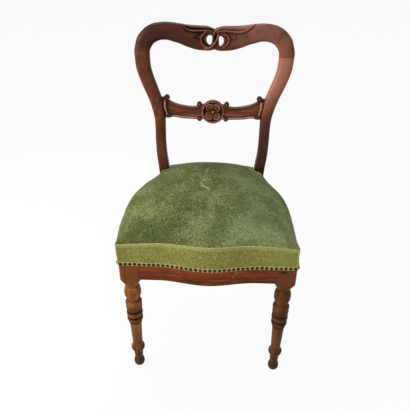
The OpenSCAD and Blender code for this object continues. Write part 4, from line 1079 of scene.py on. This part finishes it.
def coverRings():
    # the pad's underside and the turned-in hem, then the outer skin: up, round the roll and over the crown
    c = coverShape
    enter = notchReach(c["notchGap"])
    inNotch = enter < coverDistance
    distance = np.minimum(coverDistance, enter)
    roll = np.where(inNotch, c["notchRoll"], coverRoll)
    inner = distance - roll
    hem = np.where(inNotch, railTop + c["notchHem"], railTop - c["lap"])
    edge = np.where(inNotch, topHeight(onRays(inner, 0)[:, :2]), coverEdge)
    pull = np.where(inNotch, 0, c["pullIn"])
    behind = (np.abs(coverBase[:, 0]) < c["seamX"]) & (coverBase[:, 1] < frontY + chair["blockRound"])
    border = np.where(behind, c["thick"] + chair["gap"], 0)
    rings, foot = [], railTop + c["padFoot"]
    under = np.minimum(distance, coverDistance - c["stack"] - chair["railThickness"]) - c["underIn"]
    for share in c["underSteps"][::-1]:
        rings.append(onRays(under * (1 - share), foot + domeAt(share)))
    skin = distance - c["thick"] - border - pull
    rings += [onRays(skin, np.maximum(hem + 1, foot)), onRays(skin, hem)]

    def ring(away, z):
        rings.append(onRays(away - np.where(z < edge - seamClear, border, 0), z))

    for w in np.linspace(0, 1, c["sideRings"]):
        ring(distance - pull * (1 - w) ** 1.6, mix(hem, edge - roll, w))
    for a in np.radians(np.linspace(0, 90, c["rollRings"] + 1))[1:]:
        ring(distance - roll * (1 - math.cos(a)), mix(edge - roll, edge, math.sin(a)))
    for share in c["topSteps"]:
        away = inner * (1 - share)
        rings.append(onRays(away, topHeight(onRays(away, 0)[:, :2])))
    return np.array(rings), inNotch


def makeCushion():
    c, (rings, inNotch) = coverShape, coverRings()
    rows, columns = rings.shape[:2]
    points = rings.reshape(-1, 3)
    faces = gridFaces(rows, columns) + fanFaces(rows - 1, columns, len(points))
    faces += [(b, a, tip) for a, b, tip in fanFaces(0, columns, len(points) + 1)]
    tips = [(*seatCentre, railTop + c["crown"]), (*seatCentre, railTop + c["padFoot"] + c["domeRise"])]
    points = np.vstack([points, tips])
    cushion = pieceFrom("velvet_cushion", settled(points), faces, velvet, ("velvet_top", "seat_stuffing"),
                        "velvet", 70)
    free = smooth((points[:, 2] - (railTop + c["freeFrom"])) / c["freeReach"])
    under = len(c["underSteps"]) + 2
    free[:under * columns] = 0
    free[-1] = 0
    free[under * columns:rows * columns] *= np.tile(np.where(inNotch, 0.0, 1.0), rows - under)
    puffUp(cushion, 1 - free, c["padLimit"])
    # the soft unevenness of old stuffing
    places = np.array([v.co for v in cushion.data.vertices]) / mm
    pushOut(cushion, waves(places, (150, 95, 60), 4) * c["lumps"] * free * mm)
    return cushion


def placesAndNormals(piece):
    return [np.array([getattr(v, part) for v in piece.data.vertices]) for part in ("co", "normal")]


def pushOut(piece, amount):
    # move every point along its normal
    places, normals = placesAndNormals(piece)
    piece.data.vertices.foreach_set("co", (places + normals * amount[:, None]).ravel())
    piece.data.update()


def puffUp(piece, held, limit):
    # let the pad swell a little, held where the mark is 1, and even the swelling out
    before, normals = placesAndNormals(piece)
    edges = np.array([e.vertices for e in piece.data.edges])
    group = piece.vertex_groups.new(name="held")
    for i, weight in enumerate(held):
        group.add([i], float(weight), "REPLACE")
    cloth = piece.modifiers.new("cloth", "CLOTH")
    settings = cloth.settings
    settings.use_pressure = True
    settings.uniform_pressure_force = coverShape["pressure"]
    settings.effector_weights.gravity = 0
    settings.vertex_group_mass = "held"
    settings.tension_stiffness = settings.compression_stiffness = coverShape["stiffness"]
    settings.quality = 6
    scene = bpy.context.scene
    for step in range(1, coverShape["padSteps"] + 1):
        scene.frame_set(step)
    ready = bpy.context.evaluated_depsgraph_get()
    after = np.array([v.co for v in piece.evaluated_get(ready).data.vertices])
    piece.modifiers.clear()
    piece.vertex_groups.clear()
    scene.frame_set(1)
    swell = np.clip(((after - before) * normals).sum(axis=1), 0, limit * mm)
    for _ in range(coverShape["evenPasses"]):
        total, count = swell.copy(), np.ones(len(swell))
        for a, b in (edges.T, edges.T[::-1]):
            np.add.at(total, a, swell[b])
            np.add.at(count, a, 1)
        swell = total / count
    pushOut(piece, swell * (1 - held))


def borderLine():
    # the border's line in plan from seam to seam, its outward directions and the height of the seam above it
    half = seatHalf[seatHalf[:, 0] < coverShape["seamX"]]
    half = half[half[:, 1] < frontY + chair["blockRound"] - 0.5]
    full = np.vstack([half[:0:-1] * (-1, 1), half])
    share = np.minimum(1, np.abs(full[:, 0]) / blockOut)
    edge = railTop + coverShape["frontEdge"] + coverShape["frontRise"] * (1 - share ** 2)
    return full, unitOf(full - seatCentre), edge - seamClear


def makeBorder():
    c, (line, out, top) = coverShape, borderLine()
    run, hem = runOf(line), railTop - c["lap"]
    skins, ups = [], np.linspace(0, 1, c["borderRows"])
    for thick in (0, c["thick"]):
        rows = []
        for w in ups:
            arch = math.sin(w * math.pi)
            swell = arch * c["arch"] - c["pullIn"] * (1 - w) ** 1.6 - c["tuck"] * w ** 12
            crease = waves(np.column_stack([run, run * 0 + w * 14]), (26, 41, 75), 9) * c["crease"] * arch
            away = c["stack"] + swell + crease - thick
            rows.append(np.column_stack([line + out * away[:, None], mix(hem, top, w)]))
        skins.append(rows)
    points, faces = tubeOf(np.array(skins[0] + skins[1][::-1]).transpose(1, 0, 2))
    up = np.tile(np.concatenate([ups, ups[::-1]]), len(line))
    border = pieceFrom("velvet_border_sewn", settled(points), faces, borderVelvet, "velvet_border",
                       "border_velvet", 60, {"up": up})
    long, tall = run[-1] + 4, float(np.mean(top)) - hem + 2
    long * mm
    tall * mm
    return border


def tubeAlong(name, line, radius, look, slot, around):
    # a round cord along a line of points
    ahead = unitOf(np.gradient(line, axis=0))
    side = unitOf(np.cross(ahead, (0.13, 0.2, 1)))
    points, faces = tubeOf(line[:, None] + radius * circle(side, np.cross(side, ahead), around))
    return pieceFrom(name, points, faces, look, None, slot, 60)


def makeSeams():
    c, (line, out, top) = coverShape, borderLine()
    wobble = waves(runOf(line)[:, None], (60, 35), 3) * 0.5
    places = line + out * (c["stack"] - c["seamIn"])
    seam = catmull(np.column_stack([places, top + c["seamLift"] + wobble]), 2)
    tubeAlong("border_seam", settled(seam), c["seamRadius"], seamVelvet, "border_velvet", 10)
    up = np.linspace(0, 1, 16)
    for word, end in (("left", 0), ("right", -1)):
        away = c["stack"] + c["cornerOut"] - c["pullIn"] * (1 - up) ** 1.6
        places = line[end] + out[end] * away[:, None]
        upright = np.column_stack([places, mix(railTop - c["lap"] + 1, top[end], up)])
        tubeAlong("corner_seam_" + word, settled(upright), c["cornerRadius"], seamVelvet, "border_velvet", 8)


def makeRearSeams(cushion):
    # a thin pale seam on the cover, round the foot of each post
    skin = BVHTree.FromObject(cushion, bpy.context.evaluated_depsgraph_get())
    for side, word in sides:
        line = catmull([(side * (postIn + x), postFront + y) for x, y in coverShape["rearSeam"]], 6)
        found = [skin.ray_cast(Vector((x * mm, y * mm, 1)), Vector((0, 0, -1)))[0] for x, y in line]
        places = np.array([tuple(p) for p in found]) / mm + (0, 0, coverShape["rearSeamLift"])
        tubeAlong("rear_seam_" + word, places, coverShape["rearSeamRadius"], rearSeamVelvet, "velvet", 8)


velvetMarks = {  # zones in metres or in the value of a noise
    "hem": railTop - coverShape["lap"],
    # the top zones include painted light and shade laid by position on the seat
    "top": (("7b8236", 0.4, {"x": (-0.12, -0.22), "y": (-0.2, -0.05), "brushed": (0.3, 0.6)}),
            ("3c481c", 0.55, {"x": (-0.02, -0.19), "y": (-0.12, -0.24)}),
            ("87956c", 0.55, {"x": (0.0, 0.13), "brushed": (0.3, 0.6)}),
            ("93a172", 0.5, {"y": (-0.08, -0.26), "x": (-0.1, 0.05), "brushed": (0.3, 0.6)}),
            ("475027", 0.3, {"y": (0.0, 0.15)}),
            ("3a471c", 0.36, {"drift": (0.45, 0.6)}),
            ("97a573", 0.25, {"drift": (0.5, 0.36), "brushed": (0.3, 0.6)}),
            ("4a5420", 0.35, {"x": (-0.185, -0.225)})),
    "border": (("75762f", 0.45, {"x": (-0.18, -0.222)}), ("8a9a50", 0.45, {"x": (0.12, 0.2)}),
               ("b3b577", 0.8, {"up": (0.84, 0.98), "brushed": (0.25, 0.5)})),
}


def velvetLook(name, dark, middle, light, streaks=(1, 1, 1), edges=None, blotch=0.85, fine=330, grit=1.0):
    look = Look(name, Roughness=0.85, Sheen_Weight=0.14, Sheen_Roughness=0.4, Specular_IOR_Level=0.1,
                Sheen_Tint="d9e6b8")
    whole, stroked = look.place(), look.place(streaks)
    crushed = look.noise(whole, 38, 7, 0.74, 0.5)
    brushed = look.noise(stroked, fine, 4, 0.7, 0.4)
    speckle = look.noise(stroked, fine * 1.3, 3, 0.7)
    pile = look.noise(whole, 1500, 2, 0.6)
    look.tone = look.blend(crushed.between(0.34, 0.66) * blotch + (1 - blotch) * 0.5, dark, middle)
    look.paint(brushed.between(0.46, 0.61) * 0.8 * grit, light)
    look.paint(speckle.between(0.46, 0.58) * 0.9 * grit, dark)
    look.paint(pile.between(0.5, 0.75) * 0.45, light)
    if edges:
        edges(look, brushed)
    height = crushed * 0.5 * blotch + speckle * 0.5 + pile * 0.3
    return look.fit(Base_Color=look.tone, Normal=look.bump(height, 0.0012, 0.6))


def topEdges(look, brushed):
    # a painted yellow-green highlight on the left, paler at the front and the right as painted sheen, painted
    # shade at the rear; darker at the left edge and the front left corner, with rubbed strokes
    drift = look.noise(look.place((1, 0.6, 1)), 20, 4, 0.55, 0.4)
    paintZones(look, velvetMarks["top"], brushed=brushed, drift=drift)
    top = railTop + coverShape["crown"]
    for x, y, turn, long, wide, amount in coverShape["rubs"]:
        stroke = look.spot((x, y, top), (long, wide, 50), (0, 0, math.radians(turn)), 0.3, 1)
        look.paint(stroke * brushed.between(0.2, 0.55) * amount, "c6c598")
    hemEdge(look, brushed)


def hemEdge(look, brushed):
    # the pale turned edge that shows between the nails
    hem = velvetMarks["hem"]
    edge = {"z": ((hem + 14) * mm, (hem + 8.5) * mm), "brushed": (0.2, 0.45)}
    paintZones(look, [("d2cc94", 0.8, edge)], brushed=brushed)


def borderEdges(look, brushed):
    # darker to the left, greener to the right and rubbed along the seam
    paintZones(look, velvetMarks["border"], brushed=brushed, up=look.mark("up"))
    hemEdge(look, brushed)


def metalLook(name, dark, light, rough, size):
    look = Look(name, Metallic=1.0)
    spots = look.noise(look.place(), size, 5, 0.65)
    fine = look.noise(look.place(), size * 9, 3, 0.6)
    tone = look.blend(spots.between(0.35, 0.7), dark, light)
    return look.fit(Base_Color=tone, Roughness=rough + fine * 0.25,
                    Normal=look.bump(fine + spots, 0.0002, 0.5))


# Nails: domed heads set close along the hem

nailShape = {
    "width": 9.6, "pitch": 11.7, "height": 2.8, "edge": 0.7, "around": 20, "tilt": 0.08, "drift": 0.25,
    "halfRear": 12,
    "profileShares": [(0.93, -0.12), (1, 0.0), (0.985, 0.16), (0.93, 0.4), (0.8, 0.67), (0.6, 0.86),
                      (0.34, 0.97), (0.12, 1)],
}


def alongLine(line, distances):
    # places at distances along a line in plan, each with the line's direction there
    run = runOf(line)
    places, before, after = [np.column_stack([np.interp(distances + d, run, line[:, k]) for k in (0, 1)])
                             for d in (0, -1, 1)]
    return places, unitOf(after - before)


def makeNails(name, node, places, outward):
    n = nailShape
    random = np.random.default_rng(len(places))
    points, faces = [], []
    z = railTop - coverShape["lap"] + n["width"] / 2 + n["edge"]
    for place, out in zip(places, outward):
        out = np.array([out[0], out[1], 0]) + random.normal(0, n["tilt"], 3) * (0.4, 0.4, 1)
        out /= np.linalg.norm(out)
        side = np.cross((0, 0, 1), out)
        side /= np.linalg.norm(side)
        centre = np.array([place[0], place[1], z + random.normal(0, n["drift"])])
        size = n["width"] / 2 * random.uniform(0.94, 1.0)
        rim = circle(side, np.cross(out, side), n["around"])
        head, skin = tubeOf(np.array([centre + out * (h * n["height"]) + size * r * rim
                                      for r, h in n["profileShares"]]))
        faces += [[v + len(head) * len(points) for v in f] for f in skin]
        points.append(head)
    return pieceFrom(name, np.vstack(points), faces, bronze, node, "bronze_nails", 60)


def makeAllNails():
    n, half = nailShape, nailShape["width"] / 2
    line = seatHalf + unitOf(seatHalf - seatCentre) * (coverShape["stack"] - coverShape["pullIn"] + 0.1)
    length = lengths(np.diff(line, axis=0)).sum()
    count = int((cornerX + chair["blockRound"] * 0.8) / n["pitch"] + 0.5)
    front = (np.arange(count) + 0.5) * n["pitch"]
    side = np.arange(count + 0.5, length / n["pitch"]) * n["pitch"]
    rear = length - (np.arange(n["halfRear"]) + 0.5) * n["pitch"]
    sideEnd, rearEnd = (farOff, postFront - half), (postIn - half - chair["gap"], farOff)
    for name, node, distances, limit, mirrors in (
            ("front_nail_heads", "front_nails", front, (farOff, farOff), (1, -1)),
            ("side_nail_heads_right", "side_nails_right", side, sideEnd, (1,)),
            ("side_nail_heads_left", "side_nails_left", side, sideEnd, (-1,)),
            ("back_nail_heads", "back_nails", rear, rearEnd, (1, -1))):
        places, ahead = alongLine(line, distances)
        keep = (places < limit).all(axis=1)
        places, out = places[keep], np.column_stack([ahead[:, 1], -ahead[:, 0]])[keep]
        makeNails(name, node, *[np.vstack([rows * (k, 1) for k in mirrors]) for rows in (places, out)])


velvet = velvetLook("green velvet", "27320d", "68753b", "acb77a", (1, 0.6, 1), topEdges)
borderVelvet = velvetLook("border velvet", "61662a", "999d4b", "cfcc89", (1, 1, 0.3), borderEdges,
                          blotch=0.25, fine=560, grit=0.9)
seamVelvet = velvetLook("seam velvet", "9a9b5e", "b3b478", "d0cf9a")
rearSeamVelvet = velvetLook("rear seam velvet", "7a7a3c", "9c9a58", "bdb884")

# Hidden sheets: the hessian over the springs and the dust cloth under the seat

sheetShape = {
    "cell": 6, "hessianMargin": 5, "hessianThick": 0.9, "hessianLift": 0.4, "clothMargin": 8, "clothClear": 2,
    "sag": 4, "sagFrom": 22, "sagReach": 70, "ripple": 0.35,
    "steps": (0, 0.1, 0.2, 0.3, 0.4, 0.5, 0.6, 0.7, 0.8, 0.9, 0.97),
}


def sheetFrom(name, points, faces, border, thick, look, node, slot):
    # a thin sheet from its lower skin, with its flat area worked out
    count = len(points)
    places = np.vstack([points, points + (0, 0, thick)])
    skins = [list(f) for f in faces] + [[v + count for v in reversed(f)] for f in faces]
    skins += [(a, b, b + count, a + count) for a, b in border]
    sheet = pieceFrom(name, places, skins, look, node, slot, 60)
    area = 0
    for face in faces:
        a = points[list(face)]
        area += sum(np.linalg.norm(np.cross(a[k] - a[0], a[k + 1] - a[0])) / 2 for k in range(1, len(a) - 1))
    size = (points.max(0) - points.min(0)) * mm
    flat, area = (float(size[0]), float(size[1])), float(area) * mm * mm


def makeHessian():
    c, s = coverShape, sheetShape
    outer = np.minimum(coverDistance - c["stack"] - s["hessianMargin"], notchReach(s["hessianMargin"]))
    inner = np.minimum(outer, coverDistance - c["stack"] - chair["railThickness"]) - c["underIn"]
    z = railTop + s["hessianLift"]
    rings = [onRays(outer, z)] + [onRays(inner * (1 - share), z + domeAt(share)) for share in s["steps"]]
    rows, columns = len(rings), len(outer)
    points = np.vstack(rings + [[(*seatCentre, z + c["domeRise"])]])
    faces = gridFaces(rows, columns) + fanFaces(rows - 1, columns, len(points) - 1)
    border = [((j + 1) % columns, j) for j in range(columns)]
    sheetFrom("hessian_sheet", points, faces, border, s["hessianThick"], hessian, "spring_hessian", "hessian")


def makeDustCloth():
    s = sheetShape
    low, high = boxOf("bottom_cloth")

    def inset(points):
        x, y, clear = np.abs(points[:, 0]), points[:, 1], s["clothClear"]
        block = np.maximum(legX - legBlock / 2 - clear - x, y - legY - legBlock / 2 - clear)
        post = np.maximum(postIn - clear - x, postFront - clear - y)
        return np.minimum(np.minimum(insetOf(seatOutline, points) - s["clothMargin"], block), post)

    points, faces, border = plateOf(inset, low[:2], high[:2], s["cell"])
    within = inset(points)
    drop = s["sag"] * smooth((within - s["sagFrom"]) / s["sagReach"])
    drop += waves(points, (70, 45), 12) * s["ripple"] * smooth((within - 4) / 20)
    skin = np.column_stack([points, low[2] - np.clip(drop, 0, None)])
    sheetFrom("dust_cloth", skin, faces, border, high[2] - low[2], blackCloth, "bottom_cloth", "bottom_cloth")


print("Padding the seat")
bronze = metalLook("dark bronze", "120d09", "5e452b", 0.26, 260)
cushion = makeCushion()
makeBorder()
makeSeams()
makeRearSeams(cushion)
makeAllNails()

# Finishes of what stays as it is in the frame


def clothLook(name, dark, light, pitch, depth, rough=0.9):
    look = Look(name, Specular_IOR_Level=0.2)
    across, along = [(look.axis(letter) * (2 * math.pi / pitch)).math("SINE") for letter in "xy"]
    weave = across * along * 0.5 + 0.5
    lightened = look.noise(look.place(), 60, 4, 0.6)
    tone = look.blend(weave * 0.6 + lightened * 0.4, dark, light)
    return look.fit(Base_Color=tone, Roughness=rough - lightened * 0.08,
                    Normal=look.bump(weave + lightened * 0.5, depth, 0.7))


steel = metalLook("spring steel", "55524d", "8e8982", 0.35, 90)
jute = clothLook("jute webbing", "8d6f45", "c2a272", 0.004, 0.0005)
twine = clothLook("laid twine", "97805a", "cbb48a", 0.0022, 0.0004)
hessian = clothLook("hessian", "8f7549", "c4a675", 0.0028, 0.0005)
blackCloth = clothLook("black cotton", "121110", "2a2725", 0.0012, 0.0002)
makeHessian()
makeDustCloth()
nodeFinishes = {
    rawWood: ("crest_dowels", "corner_block_front_left", "corner_block_front_right", "corner_block_rear_left",
              "corner_block_rear_right"),
    steel: ("corner_block_screws", "webbing_tacks", "seat_springs", "hessian_tacks", "bottom_cloth_tacks"),
    jute: ("webbing_lengthwise", "webbing_crosswise"),
    twine: ("spring_lashing",),
}
for look, names in nodeFinishes.items():
    for name in names:
        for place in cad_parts[name].material_slots:
            place.material = look

# Floor, light and camera

room = {  # metres, degrees and watts; a lamp has its place, size, power, tint and whether it shows in gloss
    "floorReach": 9.0, "floorTones": ("9a958f", "a8a49e"), "air": 0.21, "whiteShare": 0.92,
    "camera": (0.015597, -1.138575, 1.193856), "heading": -1.525, "pitch": 34.0, "roll": 0.7, "lens": 42.231,
    "lampAim": (0, -0.03, 0.4),
    "lamps": [("window", (-1.9, -0.9, 1.7), (0.9, 0.9), 26, "fff8ee", True),
              ("side", (-1.45, -0.3, 0.62), (0.9, 1.2), 15, "fff6f0", False),
              ("fill", (0.35, -2.5, 1.1), (0.9, 0.8), 21, "fff0ee", False),
              ("top", (-0.3, 0.7, 2.2), (1.2, 1.2), 19, "ffffff", True)],
}


def whiteRays(tree):
    # 1 for what sees the plain background: the camera, gloss and glass
    path = tree.nodes.new("ShaderNodeLightPath")
    seen, gloss, glass = [Wire(tree, path.outputs["Is %s Ray" % kind])
                          for kind in ("Camera", "Glossy", "Transmission")]
    return seen.math("MAXIMUM", gloss).math("MAXIMUM", glass)


def makeFloor():
    reach = room["floorReach"]
    mesh = bpy.data.meshes.new("floor")
    mesh.from_pydata([(-reach, -reach, 0), (reach, -reach, 0), (reach, reach, 0), (-reach, reach, 0)], [],
                     [(0, 1, 2, 3)])
    floor = bpy.data.objects.new("floor", mesh)
    bpy.context.scene.collection.objects.link(floor)
    pale = Look("pale floor", Roughness=0.9, Specular_IOR_Level=0.1)
    cloudy = pale.noise(pale.place(), 1.5, 2, 0.5)
    mesh.materials.append(pale.fit(Base_Color=pale.blend(cloudy, *room["floorTones"])))
    white = pale.node("Emission", inputs={"Color": (1, 1, 1, 1), "Strength": 1})
    lit = pale.node("BsdfDiffuse", inputs={"Color": (0.9, 0.9, 0.9, 1)})
    shown = pale.node("MixShader", inputs={0: room["whiteShare"], 1: lit, 2: white})
    plain = Wire(pale.tree, pale.shader.outputs[0])
    both = pale.node("MixShader", inputs={0: whiteRays(pale.tree), 1: plain, 2: shown})
    plug(pale.tree, pale.tree.nodes["Material Output"].inputs["Surface"], both)


def makeAir():
    world = bpy.data.worlds.new("air")
    bpy.context.scene.world = world
    world.use_nodes = True
    tree = world.node_tree
    air = tree.nodes["Background"]
    plug(tree, air.inputs["Color"], "ffffff")
    plug(tree, air.inputs["Strength"], whiteRays(tree) * (1 - room["air"]) + room["air"])


def makeLamps():
    for name, place, size, power, tint, inGloss in room["lamps"]:
        lamp = bpy.data.lights.new(name, "AREA")
        lamp.shape, lamp.size, lamp.size_y = "RECTANGLE", *size
        lamp.energy, lamp.color = power, colour(tint)[:3]
        holder = bpy.data.objects.new(name, lamp)
        holder.location = place
        holder.visible_glossy = inGloss
        aim = Vector(room["lampAim"]) - Vector(place)
        holder.rotation_euler = aim.to_track_quat("-Z", "Y").to_euler()
        bpy.context.scene.collection.objects.link(holder)


def makeCamera():
    a, e, r = [math.radians(room[k]) for k in ("heading", "pitch", "roll")]
    ahead = Vector((math.sin(a) * math.cos(e), math.cos(a) * math.cos(e), -math.sin(e)))
    right = Vector((math.cos(a), -math.sin(a), 0))
    up = right.cross(ahead)
    right, up = right * math.cos(r) + up * math.sin(r), up * math.cos(r) - right * math.sin(r)
    camera = bpy.data.objects.new("camera", bpy.data.cameras.new("camera"))
    camera.data.lens, camera.data.sensor_width = room["lens"], 36
    turn = Matrix((right, up, -ahead)).transposed().to_4x4()
    camera.matrix_world = Matrix.Translation(room["camera"]) @ turn
    bpy.context.scene.collection.objects.link(camera)
    bpy.context.scene.camera = camera


print("Setting up the room")
makeFloor()
makeAir()
makeLamps()
makeCamera()
bpy.context.scene.view_settings.view_transform = "Standard"
